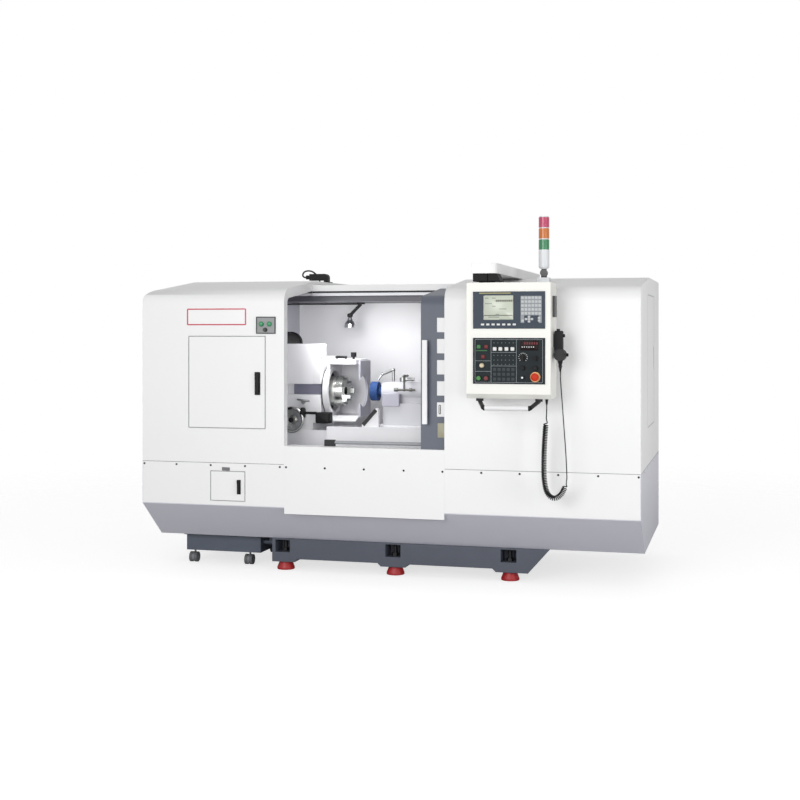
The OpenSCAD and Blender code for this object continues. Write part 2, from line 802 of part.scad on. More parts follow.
// Hatch leaf with a folded rim, in the X Z plane, its hinge edge at the left
module leaf(w, h) {
    side_gap = 1.5;
    t = sheet_t - leaf_gap;
    block([side_gap, 0, side_gap], [w - side_gap, t, h - side_gap]);
    difference() {
        block([lip_w + 4, t - 0.5, lip_w + 4], [w - lip_w - 4, leaf_d, h - lip_w - 4]);
        block([lip_w + 7, t, lip_w + 7], [w - lip_w - 7, leaf_d + 1, h - lip_w - 7]);
    }
}

// Swing-handle latch on a leaf: a dished base with a paddle
module latch(w, h) {
    base_t = 5;
    translate([0, -play, 0]) {
        block([-w / 2, -base_t, -h / 2], [w / 2, 0, h / 2]);
        bar_y(-base_t - 9, -base_t + 1, 0, h / 2 - w / 2, w * 0.42);
        block([-w * 0.3, -base_t - 9, -h / 2 + w * 0.35], [w * 0.3, -base_t + 1, h / 2 - w / 2]);
    }
}

module left_hatch() {
    color("white") seat() translate([-half_l + hatch_x, 0, hatch_z]) leaf(hatch_w, hatch_h);
}

module left_hatch_latch() {
    color("black") seat() translate([-half_l + hatch_x + hatch_w - latch_w * 1.5, 0, hatch_z + hatch_h / 2 - 6])
        latch(latch_w, latch_h);
}

module lower_hatch() {
    color("white") seat() translate([-half_l + low_hatch_x, 0, low_hatch_z]) leaf(low_hatch_w, low_hatch_h);
}

module lower_hatch_latch() {
    color("black") seat()
        translate([-half_l + low_hatch_x + low_hatch_w - low_latch_w * 1.8, 0, low_hatch_z + low_hatch_h / 2 - 4])
        latch(low_latch_w, low_latch_h);
}

// Dish of the end door's latch, grown by the amount g
module dish(g, y0) {
    block([dish_at[0] - dish_w / 2 - g, y0, dish_at[1] - dish_h / 2 - g],
        [dish_at[0] + dish_w / 2 + g, dish_d + g, dish_at[1] + dish_h / 2 + g]);
}

module end_door() {
    wall = 4;
    color("gainsboro") seat() translate([half_l, end_door_y, end_door_z]) rotate([0, 0, 90]) difference() {
        union() {
            leaf(end_door_w, end_door_h);
            dish(wall, 1);
        }
        dish(0, -1);
    }
}

module end_door_latch() {
    color("black") seat() translate([half_l, end_door_y, end_door_z]) rotate([0, 0, 90])
        translate([dish_at[0], dish_d, dish_at[1]]) latch(dish_w - 6, dish_h - 10);
}

module switch_plate() {
    plate_t = 5;
    plate_w = 119;
    plate_h = 99;
    lamp_r = 13;
    knob_r = 9;
    left = open_x0 - 50 - plate_w;
    low = hatch_z + hatch_h + 11;
    color("gray") seat() {
        block([left, -plate_t, low], [left + plate_w, 0, low + plate_h]);
        for (across = [0.27, 0.69])
            bar_y(-plate_t - 10, -plate_t + 1, left + across * plate_w, low + plate_h * 0.57, lamp_r);
        bar_y(-plate_t - 16, -plate_t + 1, left + plate_w * 0.48, low + plate_h * 0.24, knob_r);
    }
}

module workhead_slide() {
    step = 40;
    color("white") seat() {
        block([head_left - 10, head_front - 30, slide_z], [head_x + guard_l * 0.6, head_back + 80, head_z - step]);
        block([head_left, head_front, head_z - step - 1], [head_x, head_back + 60, head_z]);
    }
}

module workhead() {
    shield_t = 16;
    color("white") seat() difference() {
        union() {
            block([head_left, head_front, head_z], [head_x, head_back, head_deck]);
            block([head_left, head_front, head_deck - 1],
                [chuck_x0 + 7, head_front + shield_t, head_deck + shield_h]);
        }
        block([head_left + 130, head_front - 1, axis_z - 20], [head_x + 1, head_front + 40, axis_z + 45]);
        bar_x(head_x - nose_in - 2, head_x + 1, axis_y, axis_z, nose_dia / 2 + run_gap);
    }
}

module workhead_motor() {
    r = 75;
    mid = head_left + 60;
    z = head_deck + r;
    color("dimgray") seat() {
        bar_y(head_front + 20, head_back - 60, mid, z, r - 6);
        for (y = [head_front + 20, head_back - 90])
            bar_y(y, y + 30, mid, z, r);
        block([mid - 50, head_front + 60, head_deck], [mid + 50, head_back - 120, z - r / 2]);
    }
}

module chuck() {
    color("silver") seat() difference() {
        union() {
            bar_x(head_x - nose_in, chuck_x0 + 1, axis_y, axis_z, nose_dia / 2);
            bar_x(chuck_x0, chuck_x1, axis_y, axis_z, chuck_dia / 2);
        }
        bar_x(head_x - nose_in - 1, chuck_x1 + 1, axis_y, axis_z, chuck_bore / 2);
        translate([chuck_x0 + chuck_l * 0.5, axis_y, axis_z]) rotate([0, 90, 0]) rotate_extrude()
            translate([chuck_dia / 2 - 3, 0]) square([4, 5]);
    }
}

module chuck_jaws() {
    jaw_l = 40;
    color("gray") seat() for (a = [30, 150, 270])
        translate([chuck_x1, axis_y, axis_z]) rotate([a, 0, 0]) {
            block([0, -18, chuck_bore / 2 + 6], [jaw_l * 0.5, 18, chuck_dia / 2 - 8]);
            block([0, -15, chuck_bore / 2 + 6], [jaw_l, 15, chuck_bore / 2 + 28]);
        }
}

module chuck_guard() {
    low = axis_z - guard_r;
    color("white") seat() {
        difference() {
            union() {
                bar_x(guard_x0, guard_x0 + guard_t, axis_y, axis_z, guard_r);
                block([guard_x0, axis_y, low], [guard_x0 + guard_t, guard_back, guard_top]);
                block([guard_x0, axis_y - guard_r * 0.5, axis_z], [guard_x0 + guard_t, axis_y, guard_top]);
            }
            bar_x(guard_x0 - 1, guard_x0 + guard_t + 1, axis_y, axis_z, chuck_dia / 2 + 8);
        }
        difference() {
            block([guard_x1 - guard_t, guard_front, low], [guard_x1, guard_back, guard_top]);
            bar_x(guard_x1 - guard_t - 1, guard_x1 + 1, axis_y, axis_z, guard_r * 0.62);
        }
        block([guard_x0, guard_back - 6, low], [guard_x1, guard_back, guard_top]);
        block([guard_x0, axis_y - guard_r * 0.3, low], [guard_x1, guard_back, low + 6]);
    }
}

module guard_cover() {
    z = guard_top + play;
    left = guard_x0 + play;
    front = guard_front;
    t = 4;
    color("white") seat() {
        difference() {
            block([left, front, z], [guard_x1, guard_back, z + cover_h]);
            block([left + t, front + t, z - 1], [guard_x1 - t, guard_back - t, z + cover_h - t]);
        }
        bar_x(guard_x0 + 100, guard_x0 + 170, front + 60, z + cover_h + 10, 6);
        for (x = [guard_x0 + 103, guard_x0 + 161])
            block([x, front + 55, z + cover_h - 1], [x + 6, front + 65, z + cover_h + 10]);
        bar_z(z + cover_h - 1, z + cover_h + 14, guard_x0 + 215, front + 60, 8);
        bar_z(z + cover_h + 13, z + cover_h + 42, guard_x0 + 215, front + 60, 17);
    }
}

module handwheel() {
    r = 80;
    x = head_x - 120;
    z = head_z + 20;
    face = head_front - play;
    color("silver") seat() {
        bar_y(face - 60, face, x, z, 16);
        translate([x, face - 42, z]) rotate([90, 0, 0]) rotate_extrude() translate([r - 9, 0]) circle(9);
        for (a = [90, 210, 330])
            translate([x, face - 42, z]) rotate([0, a, 0]) bar_x(8, r - 8, 0, 0, 6);
        bar_y(face - 96, face - 42, x, z + r - 9, 8);
    }
}

module wheel_slide() {
    step = 50;
    color("white") seat() {
        block([grind_x - 15, axis_y - 160, slide_z], [wheelhead_x1 + 90, axis_y + 220, saddle_z - step]);
        block([wheelhead_x - 20, axis_y - 120, saddle_z - step - 1], [wheelhead_x1 + 20, axis_y + 160, saddle_z]);
    }
}

module wheelhead() {
    barrel_r = barrel_dia / 2;
    foot_z = axis_z - barrel_r - 8;
    color("gainsboro") seat() difference() {
        union() {
            block([wheelhead_x + 20, axis_y - barrel_r * 1.5, saddle_z],
                [wheelhead_x1, axis_y + barrel_r * 1.5, foot_z]);
            block([wheelhead_x + 50, axis_y - barrel_r * 0.83, foot_z - 1],
                [wheelhead_x1 - 30, axis_y + barrel_r * 0.83, axis_z - barrel_r / 3]);
            bar_x(wheelhead_x, wheelhead_x1, axis_y, axis_z, barrel_r);
        }
        bar_x(wheelhead_x - 1, wheelhead_x + shaft_r * 3, axis_y, axis_z, shaft_r + run_gap);
    }
}

module grinding_wheel() {
    color("steelblue") seat() {
        bar_x(grind_x, grind_x + grind_w, axis_y, axis_z, grind_dia / 2);
        bar_x(grind_x - 8, grind_x + 1, axis_y, axis_z, shaft_r * 1.1);
        bar_x(grind_x + grind_w - 1, wheelhead_x - 1, axis_y, axis_z, shaft_r * 1.3);
        bar_x(wheelhead_x - 2, wheelhead_x + shaft_r * 3 - 2, axis_y, axis_z, shaft_r);
    }
}

module coolant_nozzle() {
    top = axis_z + barrel_dia / 2;
    p = [wheelhead_x + 60, axis_y, top + 70];
    q = [wheelhead_x, axis_y - 30, top + 44];
    color("gray") seat() {
        bar_z(top - 1, p[2], p[0], p[1], 9);
        bar(p, q, 8);
        translate(p) sphere(11);
        translate(q) sphere(10);
        bar(q, q + [-24, -10, -34], 6);
        bar_z(top - 1, top + 22, p[0] + 60, axis_y, 20);
        bar_x(p[0] + 40, p[0] + 130, axis_y, top + 14, 10);
    }
}

module lamp_arm() {
    color("black") seat() {
        bar_z(ceiling_z - 10, ceiling_z, lamp_at[0], lamp_at[1], 26);
        bar([lamp_at[0], lamp_at[1], ceiling_z - 9], lamp_joint, 10);
        bar_y(lamp_joint[1] - 16, lamp_joint[1] + 16, lamp_joint[0], lamp_joint[2], 14);
        bar_x(wall_x + sheet_t, conduit_at[0] + weld, conduit_at[1], conduit_at[2], 9);
        bar(conduit_at, [lamp_at[0], lamp_at[1], ceiling_z - 9], 5);
    }
}

module lamp_head() {
    top = lamp_joint[2] - 14 - play;
    color("silver") seat() translate([lamp_joint[0], lamp_joint[1], 0]) rotate_extrude()
        polygon([[0, top], [12, top], [16, top - 14], [34, top - 40], [34, top - 62], [0, top - 62]]);
}

module boom() {
    r = 36;
    front = pend_front + 8;
    low = roof_z;
    top = low + boom_h;
    color("white") seat() difference() {
        union() {
            block([boom_x, front, low], [boom_x + boom_w - r, boom_back, top]);
            block([boom_x, front + r, low], [boom_x + boom_w, boom_back, top]);
            bar_z(low, top, boom_x + boom_w - r, front + r, r);
        }
        translate([boom_x - 1, boom_back - 60, top - 25]) rotate([-25, 0, 0]) cube([boom_w + 2, 120, 60]);
    }
}

module swivel() {
    color("black") seat() {
        bar_z(pend_top + play, roof_z, pivot[0], pivot[1], 44);
        difference() {
            along_y(pivot[1] - 62, pivot[1] + 50, [[boom_x + 2, roof_z], [boom_x + 2, pend_top + 8],
                [boom_x + boom_w + 16, pend_top + 8], [boom_x + boom_w - 6, roof_z]]);
            block([pivot[0] + 12, pivot[1] - 63, pend_top], [pivot[0] + 16, pivot[1] - 48, roof_z + 1]);
        }
    }
}

module pendant_box() {
    bevel = 25;
    color("ivory") seat() {
        along_x(pend_x, mpg_x, [[pend_front, pend_z + bevel], [pend_front + bevel, pend_z], [pend_back, pend_z],
            [pend_back, pend_top], [pend_front, pend_top]]);
        block([mpg_x - 1, pend_front + 60, display_low + 61], [mpg_x + 14, pend_front + 130, display_low + 173]);
        block([mpg_x - 1, pend_front + 80, pulse_low + pulse_h / 2], [mpg_x + pulse_off, pend_front + 120, pulse_low + pulse_h - 29]);
    }
}

module display_unit() {
    screen = [panel_left + panel_w * 0.146, display_low + display_h * 0.235];
    screen_size = [panel_w * 0.417, display_h * 0.663];
    color("slategray") seat() difference() {
        block([panel_left, bezel_y, display_low], [panel_left + panel_w, pend_front, display_low + display_h]);
        block([screen[0], bezel_y - 1, screen[1]],
            [screen[0] + screen_size[0], bezel_y + 3, screen[1] + screen_size[1]]);
    }
}

module operator_panel() {
    key = 9;
    color("darkslategray") seat() {
        difference() {
            block([panel_left, bezel_y, panel_low], [panel_left + panel_w, pend_front, panel_low + panel_h]);
            bar_y(bezel_y - 1, pend_front + 1, stop_at[0], stop_at[1], stop_stem + play);
            for (at = [start_at, halt_at])
                bar_y(bezel_y - 1, pend_front + 1, at[0], at[1], button_r + play);
        }
        for (share = [[0.698, 0.35], [0.872, 0.35], [0.693, 0.152], [0.125, 0.399]])
            bar_y(bezel_y - 16, bezel_y + 1, panel_at(share[0], share[1])[0], panel_at(share[0], share[1])[1], 10);
        for (share = [[0.305, 0.761], [0.385, 0.761], [0.469, 0.761], [0.552, 0.761],
                [0.081, 0.807], [0.185, 0.807], [0.141, 0.588]])
            translate([panel_at(share[0], share[1])[0], 0, panel_at(share[0], share[1])[1]])
                block([-key, bezel_y - 5, -key], [key, bezel_y + 1, key]);
    }
}

module handle_bar() {
    bar_y0 = pend_front - bar_reach;
    z = pend_z - 46;
    left = panel_mid - panel_w * 0.34;
    right = panel_mid + panel_w * 0.31;
    foot_out = 34;
    foot_h = 14;
    color("whitesmoke") seat() {
        bar_x(left, right, bar_y0, z, bar_dia / 2);
        for (s = [[left, -1], [right, 1]]) {
            bar([s[0], bar_y0, z], [s[0] + s[1] * foot_out, pend_front + 40, pend_z - foot_h + 1], 11);
            bar_z(pend_z - foot_h, pend_z, s[0] + s[1] * foot_out, pend_front + 40, 20);
        }
    }
}

module emergency_stop() {
    head_t = 16;
    reach = 30;
    color("red") seat() {
        bar_y(bezel_y - reach, bezel_y - reach + head_t, stop_at[0], stop_at[1], stop_dia / 2);
        bar_y(bezel_y - reach, bezel_y + stem_in, stop_at[0], stop_at[1], stop_stem);
    }
}

// Round push button whose stem runs in a bore of the panel
module push_button(at) {
    bar_y(bezel_y - 9, bezel_y + stem_in, at[0], at[1], button_r);
}

// Selector with a pointer grip
module selector(at, r) {
    bar_y(bezel_y - play - 8, bezel_y - play, at[0], at[1], r);
    block([at[0] - r * 0.3, bezel_y - play - 20, at[1] - r], [at[0] + r * 0.3, bezel_y - play - 7, at[1] + r]);
}

module feed_selector() {
    color("black") seat() selector(feed_at, 17);
}

module mode_selector() {
    color("black") seat() selector(mode_at, 13);
}

module start_button() {
    color("green") seat() push_button(start_at);
}

module halt_button() {
    color("red") seat() push_button(halt_at);
}

module pulse_generator() {
    mid = pulse_y + pulse_d / 2;
    color("black") seat() {
        block([mpg_x + pulse_off, pulse_y, pulse_low],
            [mpg_x + pulse_off + pulse_w, pulse_y + pulse_d, pulse_low + pulse_h]);
        for (z = [pulse_low + pulse_h * 0.34, pulse_low + pulse_h * 0.86])
            bar_x(mpg_x + pulse_off + pulse_w - 1, mpg_x + pulse_off + pulse_w + 12, mid, z, 10);
        bar_z(pulse_low + pulse_h - 1, pulse_low + pulse_h + 11, mpg_x + pulse_w * 0.45, mid, 8);
    }
}

module pulse_dial() {
    face = pulse_y - play;
    color("dimgray") seat() {
        bar_y(face - 16, face, dial_at[0], dial_at[1], dial_dia / 2);
        bar_y(face - 30, face - 15, dial_at[0] + dial_dia * 0.3, dial_at[1] + 6, 5);
    }
}

module pulse_cord() {
    color("black") seat() translate([mpg_x, pivot[1], pend_z]) tube(cord_route, 3, 10);
}

module tower_base() {
    r = tower_dia / 2;
    foot_z = tower_z + seat_gap;
    color("gainsboro") seat() translate([tower_x, tower_y, 0]) {
        along_x(-34, 34, [[-30, foot_z - 30 * tan(slope_deg)], [30, foot_z + 30 * tan(slope_deg)],
            [30, tower_z + 28], [-30, tower_z + 28]]);
        bar_z(tower_z + 27, tower_z + 42, 0, 0, 17);
        bar_y(-22, 22, 0, tower_z + 55, 20);
        bar_z(tower_z + 54, tower_z + 80, 0, 0, 15);
        translate([0, 0, tower_z + 79]) rotate_extrude() polygon([[0, 0], [r - 6, 0], [r, 10],
            [r, lens_z - tower_z - 79], [0, lens_z - tower_z - 79]]);
    }
}

module tower_lenses() {
    r = tower_dia / 2;
    color("orange") seat() translate([tower_x, tower_y, lens_z]) rotate_extrude() polygon(concat([[0, 0]],
        [for (i = [0:2]) each [[r, i * (lens_h + ring_h)], [r, i * (lens_h + ring_h) + lens_h],
            [r - 3, i * (lens_h + ring_h) + lens_h], [r - 3, (i + 1) * (lens_h + ring_h)]]],
        [[0, 3 * (lens_h + ring_h)]]));
}

module roof_elbow() {
    half_w = 22;
    round_r = 24;
    leg_r = 40;
    body_l = -85;
    body_z = [15, 57];
    gland_l = 27;
    top_arc = [for (a = [0:15:90])
        [leg_r - round_r, body_z[1] - round_r] + round_r * [cos(a), sin(a)]];
    color("black") seat() translate([plug_at[0], plug_at[1], roof_z]) {
        block([-4, -half_w - 12, 0], [leg_r + 14, half_w + 12, 5]);
        along_y(-half_w, half_w, concat([[leg_r, 4]], top_arc,
            [[body_l, body_z[1]], [body_l, body_z[0]], [12, body_z[0]], [12, 4]]));
        bar_x(body_l - gland_l, body_l + 1, 0, 36, 13);
    }
}

module roof_cable() {
    color("black") seat() translate([plug_at[0], plug_at[1], roof_z]) tube(roof_route, 3, 10);
}

bed();
levelling_feet();
levelling_screws();
coolant_tank();
caster_hoods();
caster_wheels();
drip_tray();
lower_panels();
centre_panel();
left_hood();
right_hood();
right_end_panel();
rear_panel();
centre_roof();
splash_wall();
door_rails();
front_door();
door_band();
door_window();
window_gasket();
door_pull();
left_hatch();
left_hatch_latch();
lower_hatch();
lower_hatch_latch();
end_door();
end_door_latch();
switch_plate();
workhead_slide();
workhead();
workhead_motor();
chuck();
chuck_jaws();
chuck_guard();
guard_cover();
handwheel();
wheel_slide();
wheelhead();
grinding_wheel();
coolant_nozzle();
lamp_arm();
lamp_head();
boom();
swivel();
pendant_box();
display_unit();
operator_panel();
handle_bar();
emergency_stop();
feed_selector();
mode_selector();
start_button();
halt_button();
pulse_generator();
pulse_dial();
pulse_cord();
tower_base();
tower_lenses();
roof_elbow();
roof_cable();
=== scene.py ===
import json
import math

import bmesh
import bpy
import numpy as np
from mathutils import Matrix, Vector


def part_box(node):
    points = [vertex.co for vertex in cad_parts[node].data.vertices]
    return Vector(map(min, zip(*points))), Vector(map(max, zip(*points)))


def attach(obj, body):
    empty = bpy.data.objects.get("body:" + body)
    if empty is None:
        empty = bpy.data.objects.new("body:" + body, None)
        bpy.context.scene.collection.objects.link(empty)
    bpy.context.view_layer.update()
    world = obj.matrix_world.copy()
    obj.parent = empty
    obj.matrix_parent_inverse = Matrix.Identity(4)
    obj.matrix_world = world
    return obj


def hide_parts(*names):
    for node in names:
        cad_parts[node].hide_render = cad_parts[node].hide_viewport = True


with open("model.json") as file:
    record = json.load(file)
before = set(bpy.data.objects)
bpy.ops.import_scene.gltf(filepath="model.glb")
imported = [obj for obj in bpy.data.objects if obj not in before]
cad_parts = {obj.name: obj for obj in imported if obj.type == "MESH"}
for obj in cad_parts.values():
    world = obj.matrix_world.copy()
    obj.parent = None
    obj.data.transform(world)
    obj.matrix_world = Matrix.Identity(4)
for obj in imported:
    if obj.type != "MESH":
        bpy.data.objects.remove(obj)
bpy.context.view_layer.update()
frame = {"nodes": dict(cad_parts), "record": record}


# Camera: it stands level at the height of a person's chest, seven metres in front of the machine and to its
# right, turned a little to the left. Its frame is shifted down, so that uprights stay upright.
scene = bpy.context.scene
scene.view_settings.view_transform = "Standard"
camera = bpy.data.objects.new("camera", bpy.data.cameras.new("camera"))
camera.location = (1.996, -7.5495, 1.418)
camera.rotation_euler = (math.radians(90), 0, math.radians(15))
camera.data.sensor_width = 36
camera.data.lens = 58.33
camera.data.shift_y = -0.0866
scene.collection.objects.link(camera)
scene.camera = camera


# Studio: a white surround that only the camera and reflections see at full strength, a pale floor that fades
# into it, soft lamps in front, on the right and overhead, and a small one inside the open door.
ambient = 0.36
floor_grey, floor_lift = 0.45, 0.70
floor_reach, floor_z, fade_from, fade_to = 9.0, -0.001, 2.2, 6.5
crease = math.radians(35)


def add_node(tree, kind, operation=None):
    """A new shader node, with its operation where it has one."""
    made = tree.nodes.new("ShaderNode" + kind)
    if operation:
        made.operation = operation
    return made


def wire(tree, *links):
    """Joins nodes. Each link gives a node and its output, then a node and its input."""
    for giver, output, taker, socket in links:
        tree.links.new(giver.outputs[output], taker.inputs[socket])


world = bpy.data.worlds.new("studio")
scene.world = world
world.use_nodes = True
tree = world.node_tree
surround = tree.nodes["Background"]
surround.inputs["Color"].default_value = (1, 1, 1, 1)
rays = add_node(tree, "LightPath")
mirrored = add_node(tree, "Math", "MAXIMUM")
seen = add_node(tree, "Math", "MAXIMUM")
strength = add_node(tree, "MapRange")
strength.inputs["To Min"].default_value = ambient
wire(tree, (rays, "Is Glossy Ray", mirrored, 0), (rays, "Is Transmission Ray", mirrored, 1),
     (rays, "Is Camera Ray", seen, 0), (mirrored, 0, seen, 1), (seen, 0, strength, "Value"),
     (strength, "Result", surround, "Strength"))

for name, place, aim, size, watts in (
        ("front_lamp", (-1.2, -7.2, 2.3), (0, 0, 1.05), 3.4, 232),
        ("side_lamp", (2.4, -6.4, 1.6), (-0.5, 0, 1.0), 1.2, 36),
        ("right_lamp", (5.4, -3.6, 1.1), (0.4, 0, 0.8), 2.4, 100),
        ("top_lamp", (0.2, 0.6, 5.2), (0.2, 0, 0), 3.0, 10),
        ("work_lamp", (-0.32, -0.16, 1.49), (-0.34, 0.44, 0.73), 0.3, 4.4)):
    light = bpy.data.lights.new(name, "AREA")
    light.size = size
    light.energy = watts
    lamp = bpy.data.objects.new(name, light)
    lamp.location = place
    lamp.rotation_euler = (Vector(aim) - Vector(place)).to_track_quat("-Z", "Y").to_euler()
    scene.collection.objects.link(lamp)


def finish(name, colour, roughness, metallic=0.0):
    """A principled material whose constants sit on the shader's own sockets."""
    made = bpy.data.materials.new(name)
    made.use_nodes = True
    shader = made.node_tree.nodes["Principled BSDF"]
    shader.inputs["Base Color"].default_value = (*colour, 1)
    shader.inputs["Roughness"].default_value = roughness
    shader.inputs["Metallic"].default_value = metallic
    return made, shader


def grid_faces(rows, columns, round_about):
    """Quads of a grid: each joins a point to its neighbours in the next row and column."""
    i = np.arange(rows - 1)[:, None]
    j = np.arange(columns if round_about else columns - 1)[None, :]
    k = (j + 1) % columns
    quads = np.stack([i * columns + j, i * columns + k, (i + 1) * columns + k, (i + 1) * columns + j], -1)
    return quads.reshape(-1, 4).tolist()


def mesh_object(name, skins, material):
    """One object from skins of points and faces, each skin's faces counted from its own first point."""
    starts = np.cumsum([0] + [len(points) for points, _ in skins])
    points = np.concatenate([points for points, _ in skins])
    faces = [[corner + start for corner in face] for start, (_, each) in zip(starts, skins) for face in each]
    mesh = bpy.data.meshes.new(name)
    mesh.from_pydata(points.tolist(), [], faces)
    form = bmesh.new()
    form.from_mesh(mesh)
    bmesh.ops.recalc_face_normals(form, faces=form.faces)
    form.to_mesh(mesh)
    form.free()
    mesh.shade_smooth()
    mesh.set_sharp_from_angle(angle=crease)
    mesh.materials.append(material)
    made = bpy.data.objects.new(name, mesh)
    scene.collection.objects.link(made)
    return made


floor_sides = (-floor_reach, floor_reach)
floor_points = np.stack(np.meshgrid(floor_sides, floor_sides, (floor_z,)), -1).reshape(-1, 3)
floor_paint, floor_shader = finish("floor_paint", (floor_grey, floor_grey, floor_grey), 0.8)
tree = floor_paint.node_tree
place = add_node(tree, "TexCoord")
spread = add_node(tree, "VectorMath", "LENGTH")
fade = add_node(tree, "MapRange")
fade.inputs["From Min"].default_value = fade_from
fade.inputs["From Max"].default_value = fade_to
clear = add_node(tree, "BsdfTransparent")
edge = add_node(tree, "MixShader")
lift = add_node(tree, "Emission")
glow = add_node(tree, "AddShader")
rays = add_node(tree, "LightPath")
shown = add_node(tree, "Math", "MULTIPLY")
shown.inputs[1].default_value = floor_lift
wire(tree, (place, "Object", spread, 0), (spread, "Value", fade, "Value"), (rays, "Is Camera Ray", shown, 0),
     (shown, 0, lift, "Strength"), (floor_shader, 0, glow, 0), (lift, 0, glow, 1),
     (fade, "Result", edge, "Fac"), (glow, 0, edge, 1), (clear, 0, edge, 2),
     (edge, 0, tree.nodes["Material Output"], "Surface"))
mesh_object("floor", [(floor_points, grid_faces(2, 2, False))], floor_paint)


# Pulse generator's cord: a black jacketed cable, wound into a curl that hangs in a loop below the pendant,
# with a straight lead up to the pendant's gland and a longer one to the hand unit.
grain = bpy.data.node_groups.new("fine_grain", "ShaderNodeTree")
for side, labels in (("INPUT", ("Color", "Grain", "Cloud", "Spread", "Roughness", "Rough spread")),
                     ("OUTPUT", ("Color", "Roughness", "Height"))):
    for label in labels:
        kind = "NodeSocketColor" if label == "Color" else "NodeSocketFloat"
        grain.interface.new_socket(label, in_out=side, socket_type=kind)
ins = grain.nodes.new("NodeGroupInput")
outs = grain.nodes.new("NodeGroupOutput")
place = add_node(grain, "TexCoord")
fine = add_node(grain, "TexNoise")
fine.inputs["Detail"].default_value = 3
cloud = add_node(grain, "TexNoise")
cloud.inputs["Detail"].default_value = 4
darker = add_node(grain, "Math", "MULTIPLY")
tone = add_node(grain, "Math", "SUBTRACT")
tone.inputs[0].default_value = 1.0
tint = add_node(grain, "VectorMath", "SCALE")
uneven = add_node(grain, "Math", "MULTIPLY_ADD")
wire(grain, (place, "Object", fine, "Vector"), (place, "Object", cloud, "Vector"),
     (ins, "Grain", fine, "Scale"), (ins, "Cloud", cloud, "Scale"), (cloud, "Fac", darker, 0),
     (ins, "Spread", darker, 1), (darker, 0, tone, 1), (ins, "Color", tint, 0), (tone, 0, tint, "Scale"),
     (cloud, "Fac", uneven, 0), (ins, "Rough spread", uneven, 1), (ins, "Roughness", uneven, 2),
     (tint, 0, outs, "Color"), (uneven, 0, outs, "Roughness"), (fine, "Fac", outs, "Height"))
rough_spread = 0.12


def textured(name, colour, roughness, grain_scale=1200, depth=0.0001, spread=0.1, cloud_scale=5.0,
             metallic=0.0, rounding=0.0, gloss=0.5):
    """A principled material with the fine grain on its colour, roughness and normal. Rounding softens its
    edges."""
    made, shader = finish(name, colour, roughness, metallic)
    shader.inputs["Specular IOR Level"].default_value = gloss
    tree = made.node_tree
    group = add_node(tree, "Group")
    group.node_tree = grain
    for label, value in (("Color", (*colour, 1)), ("Grain", grain_scale), ("Cloud", cloud_scale),
                         ("Spread", spread), ("Roughness", roughness), ("Rough spread", rough_spread)):
        group.inputs[label].default_value = value
    bump = add_node(tree, "Bump")
    bump.inputs["Distance"].default_value = depth
    wire(tree, (group, "Color", shader, "Base Color"), (group, "Roughness", shader, "Roughness"),
         (group, "Height", bump, "Height"), (bump, "Normal", shader, "Normal"))
    if rounding:
        bevel = add_node(tree, "Bevel")
        bevel.samples = 4
        bevel.inputs["Radius"].default_value = rounding
        wire(tree, (bevel, "Normal", bump, "Normal"))
    return made


def fitted(name, skins, material, body, slot, *nodes):
    """One object from skins, which rides on a body and stands for CAD nodes, which it hides. The slot is not
    used.
    """
    made = mesh_object(name, skins, material)
    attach(made, body)
    if nodes:
        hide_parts(*nodes)
    return made


def smooth_line(route, steps):
    """Points of the cubic that passes each route point along the line through its two neighbours, and how far
    along the curve each one lies."""
    ends = np.vstack([2 * route[0] - route[1], route, 2 * route[-1] - route[-2]])
    t = np.linspace(0, len(route) - 1, steps * (len(route) - 1) + 1)
    i = np.minimum(t.astype(int), len(route) - 2)
    f = (t - i)[:, None]
    a, b, c, d = ends[i], ends[i + 1], ends[i + 2], ends[i + 3]
    line = (2 * b + (c - a) * f + (2 * a - 5 * b + 4 * c - d) * f**2 + (3 * b - a - 3 * c + d) * f**3) / 2
    return line, np.concatenate([[0], np.cumsum(np.linalg.norm(np.diff(line, axis=0), axis=1))])


def unit(vectors):
    """Vectors of length one."""
    return vectors / np.linalg.norm(vectors, axis=-1, keepdims=True)


def stacked(rings):
    """A skin over a stack of rings of points, with a flat face over the first and the last one."""
    rows, columns = rings.shape[:2]
    ends = [list(range(columns)), list(range((rows - 1) * columns, rows * columns))]
    return rings.reshape(-1, 3), grid_faces(rows, columns, True) + ends


def tube(path, radius, towards, sides):
    """A round tube: rings stand square to the path, and each begins in the direction towards."""
    along = unit(np.gradient(path, axis=0))
    out = unit(towards - (towards * along).sum(-1, keepdims=True) * along)
    over = np.cross(along, out)
    turn = np.linspace(0, 2 * np.pi, sides, endpoint=False)[None, :, None]
    rings = path[:, None] + radius * (np.cos(turn) * out[:, None] + np.sin(turn) * over[:, None])
    return stacked(rings)


soft_black = (0.011, 0.011, 0.012)
jacket = textured("black_jacket", soft_black, 0.5, 700, 0.0002, 0.3, 30, gloss=0.25)
cord_dia, coil_r, pitch, coil_rise = 0.006, 0.012, 0.0088, 0.05
cord_steps, coil_first, coil_last = 40, 3, 12
gland = np.array((1.003, -0.7055, 1.058))
cord_route = gland + np.array([
    (-35, 0, 0), (-35, 0, -48), (-36, 0, -82), (-37, 0, -98), (-43, 0, -178), (-48, 0, -268), (-50, 0, -358),
    (-47, 0, -438), (-31, 0, -502), (5, 0, -528), (41, 0, -506), (63, 0, -462), (71, 0, -428), (72, 0, -412),
    (67, 0, -298), (57, 0, -158), (47, 0, -18), (39, 0, 92), (37, 0, 175)]) / 1000
line, reach = smooth_line(cord_route, cord_steps)
coil_from, coil_to = reach[coil_first * cord_steps], reach[coil_last * cord_steps]
turns = (coil_to - coil_from) / pitch
lead_points, turn_points, tail_points = 24, 16, 60
